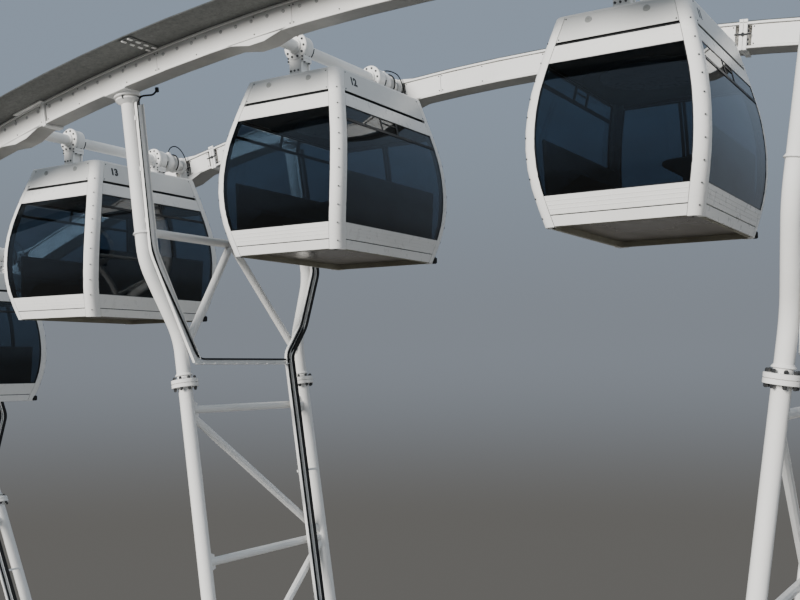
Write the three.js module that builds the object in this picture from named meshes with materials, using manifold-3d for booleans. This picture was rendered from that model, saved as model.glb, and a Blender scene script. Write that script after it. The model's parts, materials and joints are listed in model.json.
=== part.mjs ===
// An observation wheel with 42 closed cabins, built at half size: every length here is half the real one.
// Millimetres, +Z up. The wheel turns about Y, and its front is towards -Y.
// The origin is on the ground, straight below the middle of the hub.
import * as THREE from 'three';
import { mergeVertices } from 'three/addons/utils/BufferGeometryUtils.js';
import Module from 'manifold-3d';

const wasm = await Module();
wasm.setup();

// The wheel as a whole
const hubHeight = 16250;
const axleCircleRadius = 13500;
const cabinCount = 42;
const spokeCount = 21;
const spokesInSet = 3;
const cabinPitch = 2 * Math.PI / cabinCount;
const spokePitch = 2 * Math.PI / spokeCount;
const restTurn = THREE.MathUtils.degToRad(-0.485);
const seatGap = 0.3;

// Cabin, measured from its axle: heights, then half widths along X and half lengths along Y
const roofTop = { z: -191, x: 338, y: 482 };
const windowTop = { z: -435, x: 403, y: 553 };
const cabinWaist = { z: -820, x: 456, y: 621 };
const windowBottom = { z: -1098, x: 424, y: 590 };
const cabinBottom = { z: -1250, x: 388, y: 536 };
const cabinWall = 30;
const endWindowHalfWidth = 345;
const sideWindowHalfLength = 488;
const cabinOffset = 30;
const hangerY = [-392, 404];
const hangerThickness = 90;
const hangerFootHalfWidth = 44;
const bearingRadius = 84;
const hangerArcSteps = 4;
const cabinAxleRadius = 36;
const cabinAxleSides = 5;

// Rims and the drive bands round them, half the distance between their faces
const rimSides = 84;
const rimInnerRadius = 13385;
const rimOuterRadius = 13535;
const rimInnerFace = 710;
const rimOuterFace = 900;
const bandThickness = 10;
const bandInnerEdge = 720;
const bandOuterEdge = 1150;

// Spokes: each is a pair of chords that spread out to reach the two rims
const chordRadius = 43;
const chordSides = 6;
const chordSpread = 800;
const chordSpacing = 577;
const upperBend = 12520;
const lowerBend = 11775;
const chordFoot = 1060;
const braceRadius = 27;
const braceSides = 3;
const rungRadii = [8450, 4300];

// Hub
const hubDiscRadius = 975;
const hubDiscInner = 500;
const hubDiscOuter = 650;
const hubBarrelRadius = 620;
const shaftRadius = 220;
const shaftHalfLength = 2120;
const sectorOuterRadius = 1300;
const sectorHalfThickness = 50;
const sectorGapAngle = THREE.MathUtils.degToRad(0.5);

// Supports
const bearingInnerFace = 1560;
const bearingOuterFace = 2040;
const bearingHalfWidth = 420;
const bearingDrop = 450;
const boreRadius = 225;
const boreSides = 16;
const headHalfWidth = 620;
const headDepth = 420;
const footX = 5250;
const footY = 3250;
const legTopX = 330;
const legTopRadius = 225;
const legFootRadius = 290;
const legSides = 10;
const footPlateHalf = 520;
const footPlateThickness = 60;
const tieHeight = 6500;
const tieRadius = 130;
const tieSides = 8;

// Boarding platform under the lowest cabins
const deckTop = 1372;
const deckThickness = 80;
const deckHalfLength = 3000;
const deckHalfWidth = 1300;
const deckPostHalf = 60;
const deckPostInset = 250;
const stairRisers = 7;
const stairGoing = 280;
const stairHalfWidth = 700;
const stairLap = 60;
const sillHalf = 90;
const sillHeight = 200;

// Materials
function paint(color, roughness, metalness) {
  return new THREE.MeshStandardMaterial({ color, roughness, metalness });
}
const whitePaint = paint(0xe9eaea, 0.45, 0.1);
const cabinWhite = paint(0xf1f2f2, 0.32, 0.0);
const galvanised = paint(0x7e8285, 0.55, 0.7);
const shaftSteel = paint(0x9ea2a5, 0.35, 0.9);
const deckGrey = paint(0x8f9396, 0.6, 0.5);

// A solid that can be joined and cut, from a closed three.js geometry.
function solid(geometry) {
  const bare = geometry.clone();
  bare.deleteAttribute('normal');
  bare.deleteAttribute('uv');
  const merged = mergeVertices(bare, 0.01);
  return new wasm.Manifold(new wasm.Mesh({
    numProp: 3,
    vertProperties: new Float32Array(merged.attributes.position.array),
    triVerts: new Uint32Array(merged.index.array),
  }));
}

// The three.js geometry of a solid.
function geometryOf(manifold) {
  const mesh = manifold.getMesh();
  const geometry = new THREE.BufferGeometry();
  geometry.setAttribute('position', new THREE.BufferAttribute(new Float32Array(mesh.vertProperties), 3));
  geometry.setIndex(new THREE.BufferAttribute(new Uint32Array(mesh.triVerts), 1));
  geometry.computeVertexNormals();
  return geometry;
}

function joined(solids) {
  return solids.reduce((whole, piece) => whole.add(piece));
}

// A closed skin over rings of points, each ring seen anticlockwise from before the first one.
function loft(rings) {
  const sides = rings[0].length;
  const last = (rings.length - 1) * sides;
  const faces = [];
  for (let ring = 0; ring < rings.length - 1; ring += 1) {
    for (let i = 0; i < sides; i += 1) {
      const a = ring * sides + i;
      const b = ring * sides + (i + 1) % sides;
      faces.push(a, a + sides, b + sides, a, b + sides, b);
    }
  }
  for (let i = 1; i < sides - 1; i += 1) {
    faces.push(0, i, i + 1, last, last + i + 1, last + i);
  }
  const geometry = new THREE.BufferGeometry().setFromPoints(rings.flat());
  geometry.setIndex(faces);
  return geometry;
}

// A body whose level outline is a rectangle that changes from one level to the next, from the top down.
function stackedBox(levels) {
  return loft(levels.map(({ x, y, z }) => [
    new THREE.Vector3(-x, -y, z),
    new THREE.Vector3(x, -y, z),
    new THREE.Vector3(x, y, z),
    new THREE.Vector3(-x, y, z),
  ]));
}

function box(lowX, lowY, lowZ, highX, highY, highZ) {
  const geometry = new THREE.BoxGeometry(highX - lowX, highY - lowY, highZ - lowZ);
  return geometry.translate((lowX + highX) / 2, (lowY + highY) / 2, (lowZ + highZ) / 2);
}

// A tube with mitred bends along a flat path. The vector across is square to the path's plane.
function bentTube(path, radius, sides, across) {
  const rings = path.map((point, i) => {
    const before = path[Math.max(i - 1, 0)].clone();
    const after = path[Math.min(i + 1, path.length - 1)].clone();
    const arriving = i > 0 ? point.clone().sub(before).normalize() : after.clone().sub(point).normalize();
    const leaving = i < path.length - 1 ? after.sub(point).normalize() : arriving.clone();
    const along = arriving.clone().add(leaving).normalize();
    const stretch = 1 / along.dot(arriving);
    const inPlane = across.clone().cross(along).multiplyScalar(stretch);
    return Array.from({ length: sides }, (_, k) => {
      const angle = 2 * Math.PI * (k + 0.5) / sides;
      return point.clone()
        .addScaledVector(across, radius * Math.cos(angle))
        .addScaledVector(inPlane, radius * Math.sin(angle));
    });
  });
  return loft(rings);
}

// A straight bar of few sides between two points in a plane that holds the wheel's axis.
function brace(from, to) {
  return bentTube([from, to], braceRadius, braceSides, new THREE.Vector3(1, 0, 0));
}

// A flat outline in X and Z made solid between two depths along Y. A hole runs the other way round.
function plate(outline, nearY, farY, hole) {
  const shape = new THREE.Shape(outline);
  if (hole) {
    shape.holes.push(new THREE.Path(hole));
  }
  const geometry = new THREE.ExtrudeGeometry(shape, { depth: farY - nearY, bevelEnabled: false });
  return geometry.rotateX(Math.PI / 2).translate(0, farY, 0);
}

// Points on a circle about Y, from straight up and turning towards +X.
function arc(radius, start, end, steps) {
  return Array.from({ length: steps + 1 }, (_, i) => {
    const angle = start + (end - start) * i / steps;
    return new THREE.Vector2(radius * Math.sin(angle), radius * Math.cos(angle));
  });
}

// A ring or disc about Y, from a closed outline of radius and depth.
function turned(outline, sides) {
  const points = outline.map(([radius, depth]) => new THREE.Vector2(radius, depth));
  return new THREE.LatheGeometry(points, sides, restTurn);
}

// One cabin about its own axle: a shell with four window openings, hung from two bearings on a cross axle.
function cabinGeometry() {
  const body = solid(stackedBox([roofTop, windowTop, cabinWaist, windowBottom, cabinBottom]));
  const inside = solid(stackedBox([windowTop, windowBottom].map((level) => (
    { x: level.x - cabinWall, y: level.y - cabinWall, z: level.z }
  ))));
  const reach = 2 * cabinWaist.y;
  const endWindows = solid(box(
    -endWindowHalfWidth, -reach, windowBottom.z, endWindowHalfWidth, reach, windowTop.z,
  ));
  const sideWindows = solid(box(
    -reach, -sideWindowHalfLength, windowBottom.z, reach, sideWindowHalfLength, windowTop.z,
  ));
  const shell = body.subtract(inside.add(endWindows).add(sideWindows));
  return geometryOf(joined([shell, ...hangerY.map(hanger), cabinAxle()]));
}

// A bearing housing with a foot on the roof.
function hanger(y) {
  const foot = roofTop.z - 20;
  const shoulder = Math.PI - Math.asin(hangerFootHalfWidth / bearingRadius);
  const outline = [
    new THREE.Vector2(-hangerFootHalfWidth, foot),
    ...arc(bearingRadius, -shoulder, shoulder, hangerArcSteps),
    new THREE.Vector2(hangerFootHalfWidth, foot),
  ];
  return solid(plate(outline, y - hangerThickness / 2, y + hangerThickness / 2));
}

// The tube that carries a cabin, ending just short of the two rims.
function cabinAxle() {
  const reach = rimInnerFace - seatGap;
  return solid(bentTube(
    [new THREE.Vector3(0, -reach - cabinOffset, 0), new THREE.Vector3(0, reach - cabinOffset, 0)],
    cabinAxleRadius, cabinAxleSides, new THREE.Vector3(1, 0, 0),
  ));
}

// One spoke, standing up from the hub: two chords, a cross tube, a V below it and rungs.
function spoke() {
  const across = new THREE.Vector3(1, 0, 0);
  const at = (y, z) => new THREE.Vector3(0, y, z);
  const rimFall = chordRadius * Math.tan(Math.PI / rimSides);
  const chord = (side) => bentTube([
    at(side * chordSpread, rimInnerRadius - rimFall - seatGap),
    at(side * chordSpread, upperBend),
    at(side * chordSpacing, lowerBend),
    at(side * chordSpacing, chordFoot),
  ], chordRadius, chordSides, across);
  const pieces = [
    chord(-1),
    chord(1),
    brace(at(-chordSpread, upperBend), at(chordSpread, upperBend)),
    brace(at(0, upperBend), at(-chordSpacing, lowerBend)),
    brace(at(0, upperBend), at(chordSpacing, lowerBend)),
    ...rungRadii.map((z) => brace(at(-chordSpacing, z), at(chordSpacing, z))),
  ];
  return joined(pieces.map(solid));
}

// The part of the hub's bolted flange that carries one set of spokes.
function hubSector(side) {
  const half = spokesInSet * spokePitch / 2 - sectorGapAngle / 2;
  const inner = hubDiscRadius + seatGap;
  const outline = [
    ...arc(sectorOuterRadius, -half, half, spokesInSet),
    ...arc(inner, half, -half, spokesInSet),
  ];
  const middle = side * chordSpacing;
  return solid(plate(outline, middle - sectorHalfThickness, middle + sectorHalfThickness));
}

function spokeSetGeometry() {
  const turns = [-1, 0, 1].map((step) => step * THREE.MathUtils.radToDeg(spokePitch));
  const spokes = turns.map((degrees) => spoke().rotate([0, degrees, 0]));
  return geometryOf(joined([...spokes, hubSector(-1), hubSector(1)]));
}

// A rim's square box section, between its two side faces.
function rimGeometry(side) {
  const near = side * rimInnerFace;
  const far = side * rimOuterFace;
  const [low, high] = [Math.min(near, far), Math.max(near, far)];
  return ringGeometry(rimInnerRadius, rimOuterRadius, low, high);
}

// The flat band that the drive wheels grip, on the rim and standing out past its outer face.
function bandGeometry(side) {
  const inner = rimOuterRadius + seatGap;
  const edges = [side * bandInnerEdge, side * bandOuterEdge];
  return ringGeometry(inner, inner + bandThickness, Math.min(...edges), Math.max(...edges));
}

function ringGeometry(inner, outer, low, high) {
  const outline = [[inner, low], [outer, low], [outer, high], [inner, high], [inner, low]];
  return geometryOf(solid(turned(outline, rimSides)));
}

// The spool that the spoke sets are bolted round.
function hubGeometry() {
  const bore = shaftRadius + seatGap;
  const outline = [
    [bore, -hubDiscOuter], [hubDiscRadius, -hubDiscOuter], [hubDiscRadius, -hubDiscInner],
    [hubBarrelRadius, -hubDiscInner], [hubBarrelRadius, hubDiscInner], [hubDiscRadius, hubDiscInner],
    [hubDiscRadius, hubDiscOuter], [bore, hubDiscOuter], [bore, -hubDiscOuter],
  ];
  return geometryOf(solid(turned(outline, spokeCount)));
}

function shaftGeometry() {
  const outline = [
    [0, -shaftHalfLength], [shaftRadius, -shaftHalfLength],
    [shaftRadius, shaftHalfLength], [0, shaftHalfLength],
  ];
  return geometryOf(solid(turned(outline, spokeCount)));
}

// A pillow block with a round back and a flat base.
function bearingGeometry(side) {
  const base = -bearingDrop;
  const outline = [
    new THREE.Vector2(-headHalfWidth + 60, base),
    new THREE.Vector2(-headHalfWidth + 60, base + 90),
    ...arc(bearingHalfWidth, -Math.PI / 2, Math.PI / 2, 8),
    new THREE.Vector2(headHalfWidth - 60, base + 90),
    new THREE.Vector2(headHalfWidth - 60, base),
  ];
  const hole = arc(boreRadius, 2 * Math.PI, 0, boreSides).slice(0, -1);
  const depths = [side * bearingInnerFace, side * bearingOuterFace];
  return geometryOf(solid(plate(outline, Math.min(...depths), Math.max(...depths), hole)));
}

// Two splayed legs under one bearing, with their head, tie and feet.
function aFrameGeometry(side) {
  const headTop = hubHeight - bearingDrop - seatGap;
  const headMiddle = side * (bearingInnerFace + bearingOuterFace) / 2;
  const headHalf = (bearingOuterFace - bearingInnerFace) / 2 + 20;
  const head = box(
    -headHalfWidth, headMiddle - headHalf, headTop - headDepth,
    headHalfWidth, headMiddle + headHalf, headTop,
  );
  const top = (hand) => new THREE.Vector3(hand * legTopX, headMiddle, headTop - headDepth / 2);
  const foot = (hand) => new THREE.Vector3(hand * footX, side * footY, footPlateThickness / 2);
  const pieces = [head];
  for (const hand of [-1, 1]) {
    pieces.push(leg(top(hand), foot(hand)), footPlate(foot(hand)));
  }
  const share = tieHeight / (headTop - headDepth / 2);
  const tieEnd = (hand) => foot(hand).lerp(top(hand), share);
  pieces.push(bentTube([tieEnd(-1), tieEnd(1)], tieRadius, tieSides, new THREE.Vector3(0, 1, 0)));
  const ground = box(-2 * footX, -2 * footY, -footX, 2 * footX, 2 * footY, 0);
  return geometryOf(joined(pieces.map(solid)).subtract(solid(ground)));
}

// A round leg that widens towards its foot.
function leg(top, foot) {
  const length = top.distanceTo(foot);
  const geometry = new THREE.CylinderGeometry(legTopRadius, legFootRadius, length, legSides);
  const up = top.clone().sub(foot).normalize();
  const turn = new THREE.Quaternion().setFromUnitVectors(new THREE.Vector3(0, 1, 0), up);
  const middle = top.clone().add(foot).multiplyScalar(0.5);
  return geometry.applyQuaternion(turn).translate(middle.x, middle.y, middle.z);
}

function footPlate(foot) {
  return box(
    foot.x - footPlateHalf, foot.y - footPlateHalf, 0,
    foot.x + footPlateHalf, foot.y + footPlateHalf, footPlateThickness,
  );
}

// A deck on posts with a flight of steps at each end, on sills that tie the feet of the legs together.
function platformGeometry() {
  const deck = box(-deckHalfLength, -deckHalfWidth, deckTop - deckThickness, deckHalfLength, deckHalfWidth, deckTop);
  const pieces = [deck];
  for (const x of [-1, 0, 1]) {
    for (const y of [-1, 1]) {
      const postX = x * (deckHalfLength - deckPostInset);
      const postY = y * (deckHalfWidth - deckPostInset);
      pieces.push(box(
        postX - deckPostHalf, postY - deckPostHalf, 0,
        postX + deckPostHalf, postY + deckPostHalf, deckTop - deckThickness / 2,
      ));
    }
  }
  const sillEnd = footY - footPlateHalf - seatGap;
  const postY = deckHalfWidth - deckPostInset;
  for (const hand of [-1, 1]) {
    const sillX = hand * footX;
    pieces.push(box(sillX - sillHalf, -sillEnd, 0, sillX + sillHalf, sillEnd, sillHeight));
    pieces.push(box(-footX, hand * postY - sillHalf, 0, footX, hand * postY + sillHalf, sillHeight));
  }
  pieces.push(stair(-1), stair(1));
  return geometryOf(joined(pieces.map(solid)));
}

// A solid flight of steps that comes up to the deck's end.
function stair(hand) {
  const rise = deckTop / (stairRisers + 1);
  const start = deckHalfLength - stairLap;
  const seat = deckTop - deckThickness / 2;
  const outline = [
    new THREE.Vector2(hand * start, 0),
    new THREE.Vector2(hand * start, seat),
    new THREE.Vector2(hand * deckHalfLength, seat),
    new THREE.Vector2(hand * deckHalfLength, rise * stairRisers),
  ];
  for (let step = stairRisers; step > 0; step -= 1) {
    const x = hand * (deckHalfLength + (stairRisers - step + 1) * stairGoing);
    outline.push(new THREE.Vector2(x, rise * step));
    outline.push(new THREE.Vector2(x, rise * (step - 1)));
  }
  return plate(outline, -stairHalfWidth, stairHalfWidth);
}

const group = new THREE.Group();

function place(name, geometry, material, position = [0, 0, 0], turn = 0) {
  const mesh = new THREE.Mesh(geometry, material);
  mesh.name = name;
  mesh.position.set(...position);
  mesh.rotation.y = turn;
  group.add(mesh);
}

const hubCentre = [0, 0, hubHeight];
const sides = [['front', -1], ['back', 1]];

place('boarding_platform', platformGeometry(), deckGrey);
for (const [name, side] of sides) {
  place(`a_frame_${name}`, aFrameGeometry(side), whitePaint);
  place(`bearing_${name}`, bearingGeometry(side), whitePaint, hubCentre);
  place(`rim_${name}`, rimGeometry(side), whitePaint, hubCentre);
  place(`drive_band_${name}`, bandGeometry(side), galvanised, hubCentre);
}
place('main_shaft', shaftGeometry(), shaftSteel, hubCentre);
place('hub_drum', hubGeometry(), whitePaint, hubCentre);

const spokeSet = spokeSetGeometry();
for (let set = 0; set < spokeCount / spokesInSet; set += 1) {
  const turn = (spokesInSet * set + spokesInSet / 2) * spokePitch + restTurn;
  place(`spoke_set_${set + 1}`, spokeSet, whitePaint, hubCentre, turn);
}

const cabin = cabinGeometry();
for (let number = 1; number <= cabinCount; number += 1) {
  const angle = (11.5 - number) * cabinPitch + restTurn;
  const x = axleCircleRadius * Math.sin(angle);
  const z = hubHeight + axleCircleRadius * Math.cos(angle);
  place(`cabin_${String(number).padStart(2, '0')}`, cabin, cabinWhite, [x, cabinOffset, z]);
}

export default group;
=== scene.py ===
"""An observation wheel at half size, dressed over its CAD frame. Metres, +Z up, front towards -Y."""

import json
import math

import bmesh
import bpy
from mathutils import Matrix, Quaternion, Vector


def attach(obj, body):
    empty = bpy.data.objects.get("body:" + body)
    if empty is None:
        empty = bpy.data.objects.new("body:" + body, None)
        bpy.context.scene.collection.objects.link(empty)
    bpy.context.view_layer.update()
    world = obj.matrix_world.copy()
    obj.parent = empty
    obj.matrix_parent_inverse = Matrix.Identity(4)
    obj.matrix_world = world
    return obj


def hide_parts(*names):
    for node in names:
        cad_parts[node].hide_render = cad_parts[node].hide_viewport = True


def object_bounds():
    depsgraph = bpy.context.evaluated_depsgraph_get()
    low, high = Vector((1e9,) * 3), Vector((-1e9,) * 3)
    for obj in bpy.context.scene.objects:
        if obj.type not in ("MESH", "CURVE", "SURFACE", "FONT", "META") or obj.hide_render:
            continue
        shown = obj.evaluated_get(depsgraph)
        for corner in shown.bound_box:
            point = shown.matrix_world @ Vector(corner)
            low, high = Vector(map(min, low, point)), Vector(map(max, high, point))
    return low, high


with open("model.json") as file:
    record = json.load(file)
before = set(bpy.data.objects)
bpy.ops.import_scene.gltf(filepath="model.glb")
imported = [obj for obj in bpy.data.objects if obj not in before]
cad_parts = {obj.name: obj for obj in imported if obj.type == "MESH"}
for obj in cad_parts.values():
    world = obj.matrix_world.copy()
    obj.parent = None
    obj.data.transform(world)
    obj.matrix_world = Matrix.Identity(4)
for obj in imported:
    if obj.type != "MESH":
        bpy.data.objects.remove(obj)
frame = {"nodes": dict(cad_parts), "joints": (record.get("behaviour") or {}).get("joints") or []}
cad_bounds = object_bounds()

# Where things are, from the frame
joints = {joint["name"]: joint for joint in frame["joints"]}
hub = Vector(joints["wheel_turn"]["pos_m"])
cabin_names = sorted(name for name in frame["nodes"] if name.startswith("cabin_"))
axles = {name: Vector(joints[f"{name}_level"]["pos_m"]) for name in cabin_names}

# The wheel as a whole
rest_turn = math.radians(-0.485)
spoke_count = 21
spokes_in_set = 3
spoke_pitch = 2 * math.pi / spoke_count
cabin_pitch = 2 * math.pi / len(cabin_names)
axle_circle = 13.5

# Rims: radii, and distances from the middle of the wheel's thickness
rim_inner = 13.385
rim_outer = 13.535
rim_near = {-1: 0.770, 1: 0.710}
rim_far = {-1: 0.900, 1: 0.865}
rim_lip = 0.0125
panel_bottom = 13.4
panel_top = 13.52
panel_count = 84
panel_pitch = 2 * math.pi / panel_count
panel_phase = math.radians(1.03)
panel_seam = 0.003
panel_set_in = 0.011
panel_step = math.radians(1.4)
screw_inset = 0.011
joint_phases = {-1: math.radians(5.31), 1: math.radians(5.17)}
joint_gap = 0.0215
joint_half = 0.015
joint_recess = 0.0465
joint_inner_half = 0.0225
node_gap = 0.080
node_half = 0.034
node_depth = 0.078
haunch_shift = {-1: 0.11, 1: 0.0}
haunch = [(-0.21, 0.0), (-0.12, 0.020), (-0.055, 0.036), (0.055, 0.036), (0.12, 0.020), (0.21, 0.0)]
flange_bolt_circles = (13.412, 13.437, 13.487, 13.512)
outer_bolt_circles = (13.43, 13.49)
bar_circle = 13.462
bar_radius = 0.005
lamps_per_panel = 9
lamp_circle = 13.49
lamp_radius = 0.0115
band_inner = 13.5356
band_outer = 13.5445
band_near = 0.722
band_far = 1.149
band_phase = math.radians(-7.54)
band_gap = 0.003
splice_half = 0.045
clip_places = (0.928, 0.990, 1.052, 1.114)
pad_start = -0.250
pad_end = 0.018

# Spokes: half distances between the two chords, and radii along them
chord_radius = 0.043
chord_overlap = chord_radius * 0.6
cross_radius = 0.027
v_radius = 0.0255
chord_spread = 0.800
chord_spacing = 0.577
upper_bend = 12.335
lower_bend = 11.880
bend_reach = 0.10
cross_level = 12.52
v_foot = 11.80
chord_foot = 1.30
splice_radius = 11.595
weld_levels = (11.65, 7.335)
rung_top = 11.435
rung_pitch = 0.91
rung_count = 12
rung_radius = 0.0245
tray_out = 0.046
tray_wall = 0.020
tray_top = 13.32
tray_level = 11.725
tray_shifts = {-1: 0.0, 1: -0.022}
tray_widths = {-1: 0.062, 1: 0.052}

# Cabin outline under its axle: level, half width along X, half length along Y
outline_levels = [
    (-0.191, 0.338, 0.482),
    (-0.435, 0.401, 0.553),
    (-0.610, 0.439, 0.595),
    (-0.800, 0.4545, 0.6185),
    (-0.970, 0.446, 0.6135),
    (-1.0985, 0.423, 0.588),
    (-1.247, 0.389, 0.537),
]
roof_top = -0.191
slot_top = -0.3235
slot_bottom = -0.3415
window_tops = {"front": -0.432, "back": -0.432, "left": -0.4205, "right": -0.4205}
transom = -0.506
window_bottom = -1.0985
groove = -1.190
cabin_bottom = -1.246
ceiling = -0.412
tray_depth = 0.036
post_front = 0.062
post_side = 0.0745
post_round = 0.045
post_depth = 0.028
seam = 0.0025
glass_inset = 0.006
digit_size = 0.068
digit_level = -0.249
digit_place = 0.330
near_hanger = -0.392
far_hanger = 0.404
arch_height = 0.137
axle_tube = 0.036
screw_levels = [
    -0.316, -0.418, -0.513, -0.605, -0.698, -0.804, -0.9085, -1.0085, -1.106, -1.202,
]

# Hub, shaft and the bearings beside them
hub_disc = 0.975
hub_inner = 0.500
hub_outer = 0.650
hub_barrel = 0.620
hub_bore = 0.2203
hub_ring = (0.905, 1.045)
hub_ring_depth = 0.014
hub_ring_bolts = (0.935, 1.015)
hub_ring_count = 63
sector_outer = 1.300
sector_half = 0.050
sector_gap = math.radians(0.5)
shaft_radius = 0.2195
shaft_half = 2.120
bearing_near = 1.560
bearing_far = 2.040
bearing_radius = 0.420
bearing_drop = 0.450
bearing_bore = 0.226
bearing_foot = 0.560

# Supports
head_top = hub.z - bearing_drop - 0.0003
head_half = 0.620
head_depth = 0.420
leg_top_x = 0.330
leg_top_radius = 0.225
leg_foot_radius = 0.290
foot_x = 5.250
foot_y = 3.250
foot_half = 0.520
foot_thickness = 0.060
leg_splices = (0.34, 0.67)
tie_height = 6.500
tie_radius = 0.130
tie_bolt_circle = 0.156

# Boarding platform
deck_top = 1.372
deck_plate = 0.012
deck_half_x = 3.000
deck_half_y = 1.300
post_x = 2.750
post_y = 1.050
riser_count = 7
riser = deck_top / (riser_count + 1)
going = 0.280
stair_half = 0.700
sill_width = 0.170
sill_height = 0.200
sill_reach = foot_y - foot_half - 0.0005
rail_height = 0.550
rail_radius = 0.019
bar_levels = (0.18, 0.36, rail_height)
thin_rail_radius = 0.0125
stanchion_radius = 0.016

# The ground's middle, two directions, and the angle from which an edge is shown sharp
origin = (0, 0, 0)
forward = (0, -1, 0)
upward = (0, 0, 1)
sharp_angle = math.radians(32)

# The camera, as the photograph was taken
camera_place = (2.563625, -5.13374, 27.79451)
camera_forward = (-0.52914, 0.84603, 0.06515)
camera_roll = -0.0070312
camera_lens = 45.908
camera_sensor = 36.0
camera_reach = 3000.0

# Floor and light. The surround is given as sines of the elevation with a colour for each
floor_radius = 20.0
floor_levels = (-0.034, -0.004)
key_direction = (-0.16, -0.94, 0.30)
key_strength = 6.0
key_colour = (1.0, 0.975, 0.93)
key_spread = math.radians(24)
fill_direction = (1.0, -0.1, 0.45)
fill_strength = 0.85
fill_colour = (0.90, 0.95, 1.0)
fill_spread = math.radians(80)
surround_stops = [
    (-1.0, (0.105, 0.10, 0.09)),
    (-0.15, (0.13, 0.127, 0.12)),
    (0.02, (0.22, 0.245, 0.28)),
    (0.30, (0.26, 0.32, 0.40)),
    (0.62, (0.33, 0.40, 0.48)),
    (1.0, (0.38, 0.44, 0.50)),
]


def polar(radius, angle, y=0.0):
    """A point at an angle from straight up, turning towards +X."""
    return Vector((radius * math.sin(angle), y, radius * math.cos(angle)))


def even_turns(count, share=0.0):
    """Angles spread evenly round a turn, all moved on by a share of their pitch."""
    return [2 * math.pi * (k + share) / count for k in range(count)]


def cut_rectangle(x0, y0, x1, y1, cut=0.0):
    """The corners of a rectangle, each cut off at a slant unless the cut is nothing."""
    if cut <= 0:
        return [(x0, y0), (x1, y0), (x1, y1), (x0, y1)]
    return [
        (x0 + cut, y0), (x1 - cut, y0), (x1, y0 + cut), (x1, y1 - cut),
        (x1 - cut, y1), (x0 + cut, y1), (x0, y1 - cut), (x0, y0 + cut),
    ]


def carried_frames(path):
    """Two directions square to a path at each of its points, carried along it without twist."""
    last = len(path) - 1
    tangents = []
    for i in range(len(path)):
        before = path[max(i - 1, 0)]
        after = path[min(i + 1, last)]
        tangents.append((after - before).normalized())
    side = tangents[0].orthogonal().normalized()
    frames = []
    for tangent in tangents:
        side = (side - tangent * side.dot(tangent)).normalized()
        frames.append((side, tangent.cross(side)))
    return frames


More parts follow.
